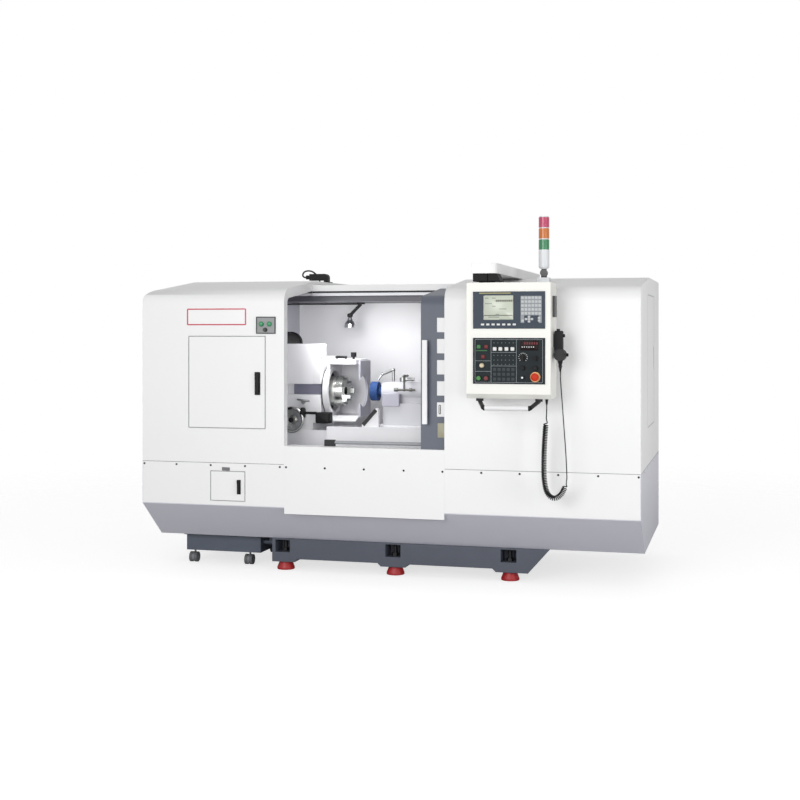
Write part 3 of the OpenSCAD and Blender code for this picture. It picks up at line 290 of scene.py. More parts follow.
stations = np.concatenate([np.linspace(0, coil_from, lead_points)[:-1],
                           np.linspace(coil_from, coil_to, int(turns * turn_points)),
                           np.linspace(coil_to, reach[-1], tail_points)[1:]])
middle = np.column_stack([np.interp(stations, reach, line[:, axis]) for axis in range(3)])
sideways = unit(np.cross(unit(np.gradient(middle, stations, axis=0)), (0, 1, 0)))
swell = np.clip((stations - coil_from) / coil_rise, 0, 1) * np.clip((coil_to - stations) / coil_rise, 0, 1)
swell = swell**2 * (3 - 2 * swell)
rate = 2 * np.pi / pitch * swell**4
phase = np.concatenate([[0], np.cumsum((rate[1:] + rate[:-1]) / 2 * np.diff(stations))])[:, None]
radial = np.cos(phase) * sideways + np.sin(phase) * np.array((0, 1.0, 0))
cord_path = middle + coil_r * swell[:, None] * radial
pulse_cord = fitted("pulse_cord_curl", [tube(cord_path, cord_dia / 2, radial, 8)], jacket,
                    "pendant", "cord_black", "pulse_cord")


def turned(profile, centre, facing, sides=28):
    """A turned skin: each profile pair (out, radius) gives a ring about the facing direction."""
    out, radius = np.asarray(profile, float).T
    turn = np.linspace(0, 2 * np.pi, sides, endpoint=False)
    rings = np.stack(np.broadcast_arrays(radius[:, None] * np.cos(turn), radius[:, None] * np.sin(turn),
                                         out[:, None]), -1)
    return stacked(rings @ facing + np.asarray(centre, float))


FRONT = np.array([(1, 0, 0), (0, 0, 1), (0, -1, 0)], float)
RIGHT = np.array([(0, 1, 0), (0, 0, 1), (1, 0, 0)], float)
TOP = np.array([(1, 0, 0), (0, 1, 0), (0, 0, 1)], float)
UNDER = np.array([(1, 0, 0), (0, -1, 0), (0, 0, -1)], float)
boot = [(0, 0.011), (0.004, 0.011), (0.005, 0.0085), (0.012, 0.008), (0.013, 0.007), (0.02, 0.0066),
        (0.021, 0.0058), (0.032, 0.0045), (0.032, 0.0034)]
boots = fitted("cord_boots", [turned(boot, cord_path[end], UNDER) for end in (0, -1)], jacket, "pendant",
               "cord_black")


# Roof cable: a short black cable that leaves the roof connector's gland, turns back over it in one loop and
# goes down through the roof behind it.
roof_dia = 0.010
plug = np.array((-0.62, 0.3145, 1.723))
roof_route = plug + np.array([
    (-112, 0, 36), (-125, 0, 37), (-136, 3, 46), (-137, 8, 60), (-128, 14, 73), (-108, 22, 79), (-84, 30, 75),
    (-64, 36, 61), (-48, 40, 41), (-38, 42, 19), (-35, 42, 0)]) / 1000
roof_path, reach = smooth_line(roof_route, 8)
roof_cable = fitted("roof_cable_loop", [tube(roof_path, roof_dia / 2, np.array((0, 1.0, 0)), 14)], jacket,
                    "machine", "cord_black", "roof_cable")


# Bed: one iron casting with foot pads, pockets over the feet and slideways, coated with slate grey enamel.
# It stands on red levelling feet, and black jack screws with nuts reach down to them through the pockets.
def dress(material, *nodes):
    """Gives CAD nodes their finish."""
    for node in nodes:
        frame["nodes"][node].material_slots[0].material = material


dress(textured("slate_enamel", (0.075, 0.085, 0.113), 0.45, 260, 0.0006, 0.22, 7, rounding=0.004), "bed")
dress(textured("red_enamel", (0.42, 0.018, 0.022), 0.35, 400, 0.0003, 0.25, 20, rounding=0.002),
      "levelling_feet")
black_steel = textured("blackened_steel", (0.022, 0.022, 0.024), 0.38, 900, 0.0001, 0.3, 40, 0.6)
dress(black_steel, "levelling_screws")


# Coolant tank: folded and welded sheet with a rolled rim and a drain spout, coated as the bed is.
# It stands on twin-wheel casters with moulded hoods.
dress(textured("tank_enamel", (0.078, 0.094, 0.127), 0.45, 900, 0.0002, 0.2, 6, rounding=0.002),
      "coolant_tank")
dress(textured("caster_grey", (0.20, 0.21, 0.22), 0.5), "caster_hoods")
dress(textured("caster_rubber", (0.13, 0.135, 0.145), 0.6, 900, 0.0002, 0.25, 30), "caster_wheels")


# Enclosure sheets: bent steel, welded and powder coated white with a fine orange-peel texture. The drip tray
# below them is folded from one sheet. Its pale lilac grey is painted shade, for the shade that falls on its
# inward sloping faces.
orange_peel = (1500, 0.00012)
white_coat = textured("white_coat", (0.87, 0.87, 0.875), 0.36, *orange_peel, 0.03, 1.5, rounding=0.002)
dress(white_coat, "lower_panels", "centre_panel", "rear_panel", "left_hatch", "lower_hatch", "end_door",
      "boom")
# Painted shade: the tray's pale lilac grey stands in for the shade on its sloping faces.
dress(textured("tray_shade_coat", (0.68, 0.68, 0.755), 0.4, *orange_peel, 0.05, 2, rounding=0.002), "drip_tray")


# Bent sheets: the hoods, the right end and the wrap-over door share one press-brake bend at the top of the
# front, tighter here than in the solids. The door's top lies a step below the roof and runs in under the
# right hood.
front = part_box("left_hood")[0][1]
slope = math.radians(7)
solid_bend, solid_bend_z, bend_r = 0.155, 1.5159, 0.088
bend_z = solid_bend_z + (solid_bend - bend_r) * (1 / math.cos(slope) - math.tan(slope))
bend_half = (np.pi / 2 - slope) / 2
zone_r, zone_half, angle_slack, above_bend = 0.125, 0.032, 0.002, -0.0005
door_drop = 0.026
slots = {each["node"]: each["material_slot"] for each in frame["record"]["subparts"]}


def rebent(node, body, coat, drop=0):
    """A sheet of the solids with the tighter bend. A point on the solids' bend keeps its angle and its depth
    in the sheet, and goes to the smaller circle that touches the same front and slope. What lies above
    drops."""
    solid = frame["nodes"][node].data
    points = np.empty(3 * len(solid.vertices), np.float32)
    corners = np.empty(len(solid.loops), np.int32)
    solid.vertices.foreach_get("co", points)
    solid.loops.foreach_get("vertex_index", corners)
    points, merged = np.unique(points.reshape(-1, 3).round(6), axis=0, return_inverse=True)
    faces = merged.ravel()[corners].reshape(-1, 3)
    faces = faces[(faces != np.roll(faces, 1, axis=1)).all(1)]
    back = points[:, 1] - front - solid_bend
    up = points[:, 2] - solid_bend_z
    radius = np.hypot(back, up)
    turn = np.arctan2(up, -back)
    bent = (np.abs(turn - bend_half) < bend_half + angle_slack) & (np.abs(radius - zone_r) < zone_half)
    radius = radius + bend_r - solid_bend
    points[:, 1] = np.where(bent, front + bend_r - radius * np.cos(turn), points[:, 1])
    points[:, 2] = np.where(bent, bend_z + radius * np.sin(turn), points[:, 2]) - drop * (up > above_bend)
    fitted(node + "_sheet", [(points, faces.tolist())], coat, body, slots[node], node)


for sheet_node in ("left_hood", "right_hood", "right_end_panel"):
    rebent(sheet_node, "machine", white_coat)
rebent("front_door", "door", white_coat, door_drop)


# Panel screws: black button-head screws with a hexagon socket, one row along the top edge of the lower panels
# on the front and another round the right end.
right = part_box("right_end_panel")[1][0]
screw_r, screw_z, end_sunk = 0.0062, 0.637, 0.0028
screw_head = [(-0.002, screw_r), (0, screw_r), (0.0016, screw_r * 0.92), (0.003, screw_r * 0.6),
              (0.0032, screw_r * 0.5), (0.0014, screw_r * 0.46), (0.0012, 0.0002)]


def copies(skin, places):
    """The same skin at many places."""
    points, faces = skin
    moved = (np.asarray(places, float)[:, None] + points[None]).reshape(-1, 3)
    starts = range(0, len(moved), len(points))
    return moved, [[corner + start for corner in face] for start in starts for face in faces]


front_rows = (-1.438, -1.233, -1.017, -0.804, -0.591, -0.553, -0.32, -0.089, 0.143, 0.365, 0.584, 0.797,
              1.008, 1.223, 1.438)
front_places = [(x, front, screw_z) for x in front_rows]
end_places = [(right - end_sunk, y, screw_z) for y in np.linspace(front + 0.02, front + 1.39, 7)]
fitted("panel_screws", [copies(turned(screw_head, (0, 0, 0), FRONT, 12), front_places),
                        copies(turned(screw_head, (0, 0, 0), RIGHT, 12), end_places)],
       black_steel, "machine", "black_steel")


# Panel seams: a thin dark strip along the lower edge of the hoods, on the front and round the right end,
# whose tone is painted shade for the gap between the sheets, and one small dark tab above the lower hatch.
def rounded(width, height, corner, steps=5):
    """Outline of a rectangle whose corners are quarter circles."""
    turn = np.arange(4)[:, None] * np.pi / 2 + np.linspace(0, np.pi / 2, steps)
    x = np.array([1, -1, -1, 1])[:, None] * (width / 2 - corner) + corner * np.cos(turn)
    z = np.array([1, 1, -1, -1])[:, None] * (height / 2 - corner) + corner * np.sin(turn)
    return np.stack([x, z], -1).reshape(-1, 2)


def lifted(outline, out):
    """An outline raised to one height."""
    return np.column_stack([outline, np.full(len(outline), out)])


least_corner = 0.0002


def moulding(width, height, corner, profile, centre, facing):
    """A moulded block: rounded rectangles, each profile pair (out, inset) giving one, stacked in the facing
    direction."""
    rings = [lifted(rounded(width - 2 * inset, height - 2 * inset, max(corner - inset, least_corner)), out)
             for out, inset in profile]
    return stacked(np.array(rings) @ facing + np.asarray(centre, float))


seam_z, seam_h, seam_gap, depth = 0.652, 0.0026, 0.004, 1.41
open_left, open_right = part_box("centre_panel")[0][0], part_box("centre_panel")[1][0]
flush = [(-0.001, 0), (0.0002, 0), (0.0004, 0.0003)]
seams = [moulding(length - seam_gap, seam_h, 0.0004, flush, at, facing) for length, at, facing in (
    (open_left + right, ((open_left - right) / 2, front, seam_z), FRONT),
    (right - open_right, ((open_right + right) / 2, front, seam_z), FRONT),
    (depth, (right, front + depth / 2, seam_z), RIGHT))]
tab = moulding(0.048, 0.020, 0.002, [(0, 0), (0.002, 0), (0.0026, 0.0006)], (-0.922, front, 0.617), FRONT)
# Painted shade: the seams' dark tone stands for the shade in the gap between the sheets.
fitted("panel_seams", seams + [tab], textured("seam_gap_shade", (0.16, 0.16, 0.17), 0.5, 900, 0.0001), "machine",
       "black_steel")


# Front plate: a bare white plate in a narrow red rim, fixed high on the left hood.
# Both are thin enamelled sheet, and the rim stands a little prouder.
def looped(rings):
    """A skin over rings of points that goes on from the last ring to the first."""
    rows, columns = rings.shape[:2]
    faces = [[corner % (rows * columns) for corner in face] for face in grid_faces(rows + 1, columns, True)]
    return rings.reshape(-1, 3), faces


def frame_ring(width, height, corner, bar, thick, centre, facing):
    """A flat ring: a rounded rectangle with a smaller one cut out of it, thick in the facing direction."""
    outer = rounded(width, height, corner)
    inner = rounded(width - 2 * bar, height - 2 * bar, max(corner - bar, least_corner))
    rings = [lifted(outer, 0), lifted(outer, thick), lifted(inner, thick), lifted(inner, 0)]
    return looped(np.array(rings) @ facing + np.asarray(centre, float))


plate_size, plate_at, rim = np.array((0.369, 0.097)), (-0.9815, front, 1.4985), 0.007
thin_plate = [(0, 0), (0.0008, 0), (0.0012, 0.0005)]
fitted("bare_plate", [moulding(*(plate_size - 2 * rim), 0.003, thin_plate, plate_at, FRONT)],
       textured("plate_white", (0.88, 0.88, 0.88), 0.3, 1500, 0.0001, 0.02), "machine", "white_plastic")
fitted("plate_rim", [frame_ring(*plate_size, 0.006, rim, 0.0016, plate_at, FRONT)],
       textured("rim_red", (0.55, 0.06, 0.09), 0.35, 1500, 0.0001, 0.05), "machine", "white_plastic")


# Switch plate: a grey moulded plate with a dark rim beside the front plate, with two green lamps and a key
# knob pushed in from the front.
dress(textured("switch_grey", (0.30, 0.31, 0.31), 0.4, rounding=0.001), "switch_plate")
low, high = np.array(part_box("switch_plate"))
plate_w, plate_h = high[0] - low[0], high[2] - low[2]
plate_y, lamp_z, knob_z = front - 0.005, low[2] + 0.57 * plate_h, low[2] + 0.24 * plate_h
dark_trim = textured("dark_trim", (0.03, 0.032, 0.035), 0.45)
tip = 0.0004
lens_dome = [(0, 0.0145), (0.007, 0.0145), (0.0125, 0.0125), (0.0155, 0.008), (0.0165, 0.0005)]
key_line = [(0, 0.0125), (0.006, 0.0125), (0.008, 0.0105), (0.0175, 0.010), (0.0185, 0.009), (0.0185, tip)]
fitted("switch_rim", [frame_ring(plate_w, plate_h, 0.006, 0.006, 0.002,
                                 ((low[0] + high[0]) / 2, plate_y, (low[2] + high[2]) / 2), FRONT)],
       dark_trim, "machine", "grey_plastic")
fitted("switch_lamps", [turned(lens_dome, (low[0] + share * plate_w, plate_y, lamp_z), FRONT)
                        for share in (0.27, 0.69)],
       textured("lens_green", (0.05, 0.30, 0.13), 0.18, 900, 0.0001), "machine", "grey_plastic")
fitted("key_knob", [turned(key_line, (low[0] + 0.48 * plate_w, plate_y, knob_z), FRONT)],
       dark_trim, "machine", "grey_plastic")


# Latches: black moulded swing handles, set into cups in the hatches and the end door.
# The roof connector is moulded from the same black plastic.
latch_black = textured("latch_black", (0.010, 0.010, 0.011), 0.5, 1400, 0.0001, 0.2, 20, rounding=0.0015,
                       gloss=0.2)
dress(latch_black, "left_hatch_latch", "lower_hatch_latch", "end_door_latch", "roof_elbow")


# Inner sheets: the splash wall round the work area and the centre roof with its white header. Below the
# header, the box which holds the light is painted dark grey as the shade there, and the splash wall's left
# side is painted a darker lilac grey as the shade that the left hood casts on it.
def paint_over(made, mask, colour):
    """Paints another colour over a material's own where the mask node gives one."""
    tree = made.node_tree
    shader = tree.nodes["Principled BSDF"]
    mix = add_node(tree, "Mix")
    mix.data_type = "RGBA"
    mix.inputs["B"].default_value = (*colour, 1)
    tree.links.new(shader.inputs["Base Color"].links[0].from_socket, mix.inputs["A"])
    wire(tree, (mask, 0, mix, "Factor"), (mix, "Result", shader, "Base Color"))


def split_by(made, axis, start, end, colour):
    """Paints the part between two limits along an object axis in another colour."""
    tree = made.node_tree
    place = add_node(tree, "TexCoord")
    parts = add_node(tree, "SeparateXYZ")
    inside = add_node(tree, "Math", "COMPARE")
    inside.inputs[1].default_value = (start + end) / 2
    inside.inputs[2].default_value = (end - start) / 2
    wire(tree, (place, "Object", parts, 0), (parts, axis, inside, 0))
    paint_over(made, inside, colour)


roof_coat = textured("roof_coat", (0.87, 0.87, 0.875), 0.36, *orange_peel, 0.03, 1.5, rounding=0.002)
roof_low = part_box("centre_roof")[0]
shade_band_top, left_wall_shade = 1.6315, (-0.90, -0.8755)
# Painted shade: the roof is painted dark grey below the header, where shade falls.
split_by(roof_coat, "Z", roof_low[2] - 0.001, shade_band_top, (0.09, 0.09, 0.11))
dress(roof_coat, "centre_roof")
wall_coat = textured("wall_coat", (0.87, 0.87, 0.89), 0.4, *orange_peel, 0.05, 2)
# Painted shade: the wall's left side is painted a darker lilac grey, where the left hood shades it.
split_by(wall_coat, "X", *left_wall_shade, (0.50, 0.50, 0.56))
dress(wall_coat, "splash_wall")


# Door seal and rails: a black rubber lip under the roof's header, a bright upper rail and a round lower rail
# with a black rubber stop at its left end.
rubber = textured("black_rubber", (0.012, 0.012, 0.013), 0.55, 900, 0.0002, 0.2, 30)
rail = textured("rail_metal", (0.30, 0.31, 0.33), 0.5, 600, 0.0001, 0.1, 10, 0.3)
rail_stop, upper_rail = (-0.3455, -0.2845), (1.5, 1.7)
split_by(rail, "X", *rail_stop, (0.012, 0.012, 0.013))
split_by(rail, "Z", *upper_rail, (0.72, 0.73, 0.76))
dress(rail, "door_rails")
dress(rubber, "window_gasket")
seal_h, seal_z = 0.011, 1.6525
fitted("header_seal", [moulding(
    open_right - open_left - 0.004, seal_h, 0.003, [(0, 0), (0.0015, 0), (0.0025, 0.001)],
    ((open_left + open_right) / 2, roof_low[1], seal_z), FRONT)], rubber, "machine", "black_rubber")


# Front door: a white sheet bent over the top, with a dark blue-grey leading band whose comb edge shows white
# through its notches, a glass pane in a rubber gasket, and a white pull bar on stand-offs, which are painted
# black as the shade at the bar's ends.
rebent("door_band", "door", textured("band_coat", (0.108, 0.122, 0.158), 0.45, *orange_peel, 0.06, 3,
                                     rounding=0.001), door_drop)
glass, glass_shader = finish("safety_glass", (0.86, 0.92, 0.92), 0.04)
glass_shader.inputs["Transmission Weight"].default_value = 1.0
glass_shader.inputs["IOR"].default_value = 1.45
dress(glass, "door_window")
pull_white = textured("pull_white", (0.86, 0.86, 0.87), 0.3, 1500, 0.0001, 0.03, rounding=0.002)
low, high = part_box("door_pull")
pull_bar = 0.0121
# Painted shade: the stand-offs behind the bar are painted black, for the shade at the bar's ends.
split_by(pull_white, "Y", low[1] + pull_bar, high[1] + 0.001, (0.02, 0.02, 0.022))
dress(pull_white, "door_pull")
band_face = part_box("door_band")[0][1]
fitted("door_plate", [moulding(0.041, 0.080, 0.004, [(0, 0), (0.0008, 0), (0.0012, 0.0006)],
                               (0.3535, band_face, 0.864), FRONT)],
       textured("door_plate_tone", (0.40, 0.38, 0.27), 0.4, 1200, 0.0001, 0.15, 9), "door", "band_paint")
fitted("slot_plate", [frame_ring(0.012, 0.052, 0.005, 0.0035, 0.0012, (0.345, band_face + 0.002, 0.980),
                                 FRONT)], latch_black, "door", "band_paint")


# Hatch edging: each leaf of the hatches and the end door has a narrow grey ring round its face, next to the
# frame, painted as the shade in the gap between leaf and frame. The end door's ring is a paler grey.
def leaf_edge(name, node, body, facing, bar, tone):
    """A flat ring along the edge of a leaf's outer face, on the front or on the right end."""
    low, high = np.array(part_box(node))
    middle = (low + high) / 2
    wide, out, face = (0, 1, low) if facing is FRONT else (1, 0, high)
    middle[out] = face[out]
    size = high - low - 0.001
    ring = frame_ring(size[wide], size[2], 0.003, bar, 0.0004, middle, facing)
    fitted(name, [ring], tone, body, "black_rubber")


# Painted shade: the grey rings stand for the shade in the gaps round the leaves.
reveal_shade = textured("reveal_shade", (0.20, 0.20, 0.21), 0.5, 900, 0.0001)
leaf_edge("hatch_edge", "left_hatch", "hatch", FRONT, 0.0035, reveal_shade)
leaf_edge("lower_hatch_edge", "lower_hatch", "low_hatch", FRONT, 0.003, reveal_shade)
leaf_edge("end_door_edge", "end_door", "side_door", RIGHT, 0.003,
          textured("pale_reveal_shade", (0.42, 0.42, 0.44), 0.5, 900, 0.0001))


# Workhead: enamelled castings with a black motor on top, and a bright chuck with ground jaws on the spindle.
# A recess plate, painted dark lilac grey as the shade inside the recess, a clamp lever, a lock knob on its
# shaft and a black terminal block sit on its front.
cast_grain = (700, 0.0002, 0.05, 4)
head_white = textured("head_white", (0.83, 0.83, 0.85), 0.4, *cast_grain, rounding=0.003)
dress(head_white, "workhead", "workhead_slide", "wheel_slide")
motor_black = textured("motor_black", soft_black, 0.5, 500, 0.0003, 0.2, 10, rounding=0.002,
                       gloss=0.25)
dress(motor_black, "workhead_motor", "lamp_arm")
dress(textured("bright_steel", (0.70, 0.71, 0.68), 0.14, 300, 0.00005, 0.08, 12, 1.0, rounding=0.001),
      "chuck")
ground = textured("ground_steel", (0.42, 0.43, 0.43), 0.3, 700, 0.0001, 0.12, 20, 1.0, rounding=0.001)
dress(ground, "chuck_jaws", "coolant_nozzle")
head_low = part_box("workhead")[0]
head_face = head_low[1]
recess_depth = 0.040
# Painted shade: the recess plate's dark lilac grey stands for the shade inside the recess.
fitted("workhead_recess", [moulding(0.181, 0.061, 0.003, [(0, 0), (0.003, 0), (0.004, 0.001)],
                                    (-0.5872, head_face + recess_depth - 0.0001, 1.0625), FRONT)],
       textured("recess_shade", (0.24, 0.24, 0.32), 0.45, *orange_peel, 0.05, 2),
       "cross_slide", "head_paint")
lever_x, lever_z, bar_x, bar_z, bar_l, bow = -0.603, 0.988, -0.640, 0.997, 0.077, 0.004
reach = np.linspace(0, 1, 13)
lever_path = np.stack([bar_x + bar_l * reach, head_face - 0.011 - bow * np.sin(np.pi * reach),
                       bar_z + bow * np.cos(np.pi * reach)], -1)
fitted("clamp_lever", [
    turned([(0, 0.013), (0.014, 0.013), (0.016, 0.011), (0.016, tip)], (lever_x, head_face, lever_z),
           FRONT),
    tube(lever_path, 0.0065, np.array((0, 0, 1.0)), 12),
    turned([(0, 0.006), (0.026, 0.006)], (lever_x, head_face - 0.008, lever_z - 0.016), TOP)],
       ground, "cross_slide", "ground_steel")
knob_at, block_at = (-0.613, head_face - 0.021, 0.921), (-0.473, head_face - 0.001, 0.893)
fitted("lock_knob", [turned(
    [(0, 0.024), (0.002, 0.031), (0.006, 0.033), (0.018, 0.033), (0.022, 0.031), (0.024, 0.024),
     (0.024, 0.008), (0.100, 0.008), (0.100, tip)], knob_at, RIGHT, 36)],
       latch_black, "cross_slide", "black_plastic")
fitted("terminal_block", [moulding(
    0.089, 0.066, 0.008, [(-0.027, 0.0), (0.030, 0.0), (0.037, 0.003), (0.040, 0.009)], block_at, FRONT)],
       latch_black, "cross_slide", "black_plastic")


# Workhead's front end: the same casting goes on to the splash guard, with the recess carried on along its
# front. It is one piece with the housing and shares its enamel.
head_right, guard_x0, head_back = -0.545, -0.495, 0.2445
head_top, recess_low, recess_high, lap = 1.262, 1.030, 1.095, 0.002
end_line = [(0, 0), (guard_x0 - head_right - 0.002, 0), (guard_x0 - head_right, 0.002)]
fitted("workhead_end", [
    moulding(head_back - y0, z1 - z0, 0.003, end_line,
             (head_right, (y0 + head_back) / 2, (z0 + z1) / 2), RIGHT)
    for y0, z0, z1 in ((head_face, head_low[2], recess_low), (head_face, recess_high, head_top),
                       (head_face + recess_depth, recess_low - lap, recess_high + lap))],
       head_white, "cross_slide", "white_paint")


# Splash guard: welded sheet round the chuck. A backing disc, painted near black as the shade inside the drum
# between the workhead and the ring, a white rolled ring with a bridge up to the cover, a right plate with a
# round cut for the grinding wheel, painted lilac grey as the shade on it, a rear wall, a floor and a chute to
# the front.
axis_y, axis_z = 0.0445, 1.050
guard_x1, guard_y0, guard_y1, guard_z0, guard_z1 = -0.270, -0.0795, 0.1995, 0.895, 1.215
disc_t, disc_hole, ring_r, ring_hole, ring_l, sheet = 0.0105, 0.101, 0.152, 0.124, 0.032, 0.006
plate_x, plate_y0, plate_cut, plate_top = guard_x1 - 0.012, axis_y - 0.064, 0.096, 1.233
chute_y, chute_fall = axis_y - 0.0465, 0.025
ring_x0 = guard_x0 + disc_t
ring_x1 = ring_x0 + ring_l


def collar(x0, x1, outer, inner):
    """A ring about the spindle's axis: a rectangle turned round it."""
    turn = np.linspace(0, 2 * np.pi, 72, endpoint=False)
    loops = np.array([(x0, inner), (x0, outer), (x1, outer), (x1, inner)])
    return looped(np.stack(np.broadcast_arrays(loops[:, :1], axis_y + loops[:, 1:] * np.cos(turn),
                                               axis_z + loops[:, 1:] * np.sin(turn)), -1))


def carried(outline, start, end, facing):
    """A plate: an outline carried from start to end in the facing direction."""
    outline = np.asarray(outline, float)
    return stacked(np.array([lifted(outline, out) for out in (start, end)]) @ facing)


def arc(radius, start, end, steps=20):
    """Points of depth and height on a circle about the spindle's axis, between two angles."""
    turn = np.linspace(start, end, steps)
    return np.column_stack([axis_y + radius * np.cos(turn), axis_z + radius * np.sin(turn)])


def strip(x0, x1, y0, y1, z0, z1):
    """A flat sheet between two places along the machine: a rectangle of depth and height carried across."""
    return carried([(y0, z0), (y1, z0), (y1, z1), (y0, z1)], x0, x1, RIGHT)


bridge_y0, bridge_r, bridge_low, bridge_in = axis_y - 0.0775, ring_r - 0.010, 0.062, 0.004
bridge_y1 = guard_y1 - 0.003
bridge = np.vstack([
    arc(bridge_r, math.asin(bridge_low / bridge_r), math.acos((bridge_y0 - axis_y) / bridge_r)),
    [(bridge_y0, guard_z1), (bridge_y1, guard_z1), (bridge_y1, axis_z + bridge_low)]])
chute = [(chute_y, guard_z0), (chute_y, guard_z0 + sheet), (guard_y0, guard_z0 + sheet - chute_fall),
         (guard_y0, guard_z0 - chute_fall)]
cut_end = math.acos((plate_y0 - axis_y) / plate_cut)
right_plate = np.vstack([
    arc(plate_cut, cut_end, -cut_end, 30),
    [(plate_y0, guard_z0), (guard_y1, guard_z0), (guard_y1, plate_top), (plate_y0, plate_top)]])
guard_white = textured("guard_white", (0.84, 0.84, 0.86), 0.4, *cast_grain, rounding=0.002)
fitted("guard_shell", [
    collar(ring_x0, ring_x1, ring_r, ring_hole),
    carried(bridge, ring_x0 + bridge_in, ring_x1 - bridge_in, RIGHT),
    strip(guard_x0, plate_x, guard_y1 - sheet, guard_y1, guard_z0, guard_z1),
    strip(guard_x0, plate_x, chute_y, guard_y1 - sheet, guard_z0, guard_z0 + sheet),
    carried(chute, ring_x1, plate_x, RIGHT)], guard_white, "cross_slide", "white_paint", "chuck_guard")
# Painted shade: the backing disc is painted near black for the shade inside the drum.
fitted("guard_disc", [collar(guard_x0, ring_x0, ring_r - 0.012, disc_hole)],
       textured("guard_disc_shade", (0.03, 0.03, 0.033), 0.5, *cast_grain), "cross_slide", "white_paint")
# Painted shade: the right plate's lilac grey stands for the shade on it.
plate_shade_lilac = textured("plate_shade_lilac", (0.46, 0.455, 0.53), 0.4, *orange_peel, 0.05, 2, rounding=0.001)
fitted("guard_plate", [carried(right_plate, plate_x, guard_x1, RIGHT)], plate_shade_lilac,
       "cross_slide", "white_paint")


# Guard cover: a shallow white lid of folded sheet, hinged at the rear of the guard, with a black bow handle
# and a black clamp knob screwed to its top.
lid_x0, lid_x1, lid_h = -0.460, -0.2823, 0.030
lid_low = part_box("guard_cover")[0][2]
lid_top, grip_y = lid_low + lid_h, guard_y0 + 0.060
lid_line = [(0, 0), (lid_h - 0.002, 0), (lid_h, 0.002)]
lid_at = ((lid_x0 + lid_x1) / 2, (guard_y0 + guard_y1) / 2, lid_low)
fitted("guard_lid", [moulding(lid_x1 - lid_x0, guard_y1 - guard_y0, 0.004, lid_line, lid_at, TOP)],
       guard_white, "cover", "white_paint", "guard_cover")
bow_line = [(0, tip), (0, 0.007), (0.002, 0.008), (0.068, 0.008), (0.070, 0.007), (0.070, tip)]
clamp_line = [(-0.001, 0.008), (0.013, 0.008), (0.013, 0.016), (0.015, 0.017), (0.040, 0.017), (0.042, 0.015),
              (0.042, tip)]
bow_legs = [turned([(-0.001, 0.004), (0.012, 0.004)], (lid_x0 + at, grip_y, lid_top), TOP)
            for at in (0.041, 0.097)]
fitted("lid_grip", [turned(bow_line, (lid_x0 + 0.034, grip_y, lid_top + 0.012), RIGHT)] + bow_legs + [
    turned(clamp_line, (lid_x0 + 0.147, grip_y, lid_top), TOP)], latch_black, "cover", "black_plastic")


# Handwheel: a polished dished wheel turned from one piece, with a round rim, a black hub cap and a black
# crank grip that is screwed into the rim.
wheel_low, wheel_high = np.array(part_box("handwheel"))
wheel_at = np.array(((wheel_low[0] + wheel_high[0]) / 2, wheel_high[1], 0.880))
wheel_r, rim_r, rim_out, hub_r, web_r = 0.080, 0.009, 0.044, 0.018, 0.062
rim_turn = np.linspace(-1, 1, 17) * np.pi
rim_line = np.column_stack([rim_out + rim_r * np.sin(rim_turn), wheel_r - rim_r + rim_r * np.cos(rim_turn)])
dish = np.vstack([[(0, tip), (0, hub_r), (0.026, hub_r), (0.038, web_r)], rim_line,
                  [(0.046, web_r), (0.034, hub_r), (0.052, hub_r), (0.052, tip)]])
hub_cap = [(0.050, tip), (0.050, 0.016), (0.058, 0.016), (0.060, 0.014), (0.060, tip)]
crank_line = [(rim_out, 0.006), (0.056, 0.006), (0.058, 0.009), (0.092, 0.0075), (0.096, 0.005),
              (0.096, tip)]
fitted("dished_wheel", [turned(dish, wheel_at, FRONT, 64)],
       textured("handwheel_chrome", (0.50, 0.51, 0.49), 0.2, 300, 0.00003, 0.05, 10, 1.0),
       "hand_wheel", "handwheel_chrome", "handwheel")
fitted("crank_grip", [turned(hub_cap, wheel_at, FRONT),
                      turned(crank_line, wheel_at + (0, 0, wheel_r - rim_r), FRONT)],
       latch_black, "hand_wheel", "black_plastic")


# Wheelhead: pale grey enamelled casting that carries a blue bonded grinding wheel on its spindle. A coolant
# feed pipe with fittings runs along its front, above a lilac probe block.
dress(textured("head_grey", (0.62, 0.62, 0.66), 0.4, 500, 0.0003, 0.1, 6, rounding=0.003), "wheelhead")
dress(textured("blue_abrasive", (0.025, 0.08, 0.26), 0.75, 1800, 0.0006, 0.3, 60), "grinding_wheel")
pipe_at, pipe_top, ball_r = np.array((0.010, axis_y - 0.085, axis_z + 0.014)), 1.146, 0.0095
ball_turn = np.linspace(0.1, 3.04, 12)
ball = np.column_stack([-np.cos(ball_turn), np.sin(ball_turn)]) * ball_r
feed_line = [(-0.062, tip), (-0.062, 0.011), (-0.040, 0.011), (-0.038, 0.006), (0.030, 0.006),
             (0.032, 0.010), (0.048, 0.010), (0.050, 0.006), (0.067, 0.006), (0.067, tip)]
fitted("feed_pipe", [
    turned([(0, 0.007), (0.085, 0.007)], (pipe_at[0], axis_y, pipe_top), FRONT, 16),
    turned([(0, 0.0065), (pipe_top - pipe_at[2], 0.0065)], pipe_at, TOP, 16),
    turned(feed_line, pipe_at, RIGHT, 16),
    turned(ball, pipe_at, TOP, 16), turned(ball, (*pipe_at[:2], pipe_top), TOP, 16)],
       textured("pipe_dark", (0.16, 0.165, 0.15), 0.35, 700, 0.0001, 0.12, 20, 0.8),
       "long_slide", "ground_steel")
fitted("probe_block", [moulding(0.106, 0.075, 0.004, [(0, 0), (0.063, 0), (0.065, 0.002)],
                                (-0.070, axis_y - 0.040, 1.0025), FRONT)],
       plate_shade_lilac, "long_slide", "head_paint")


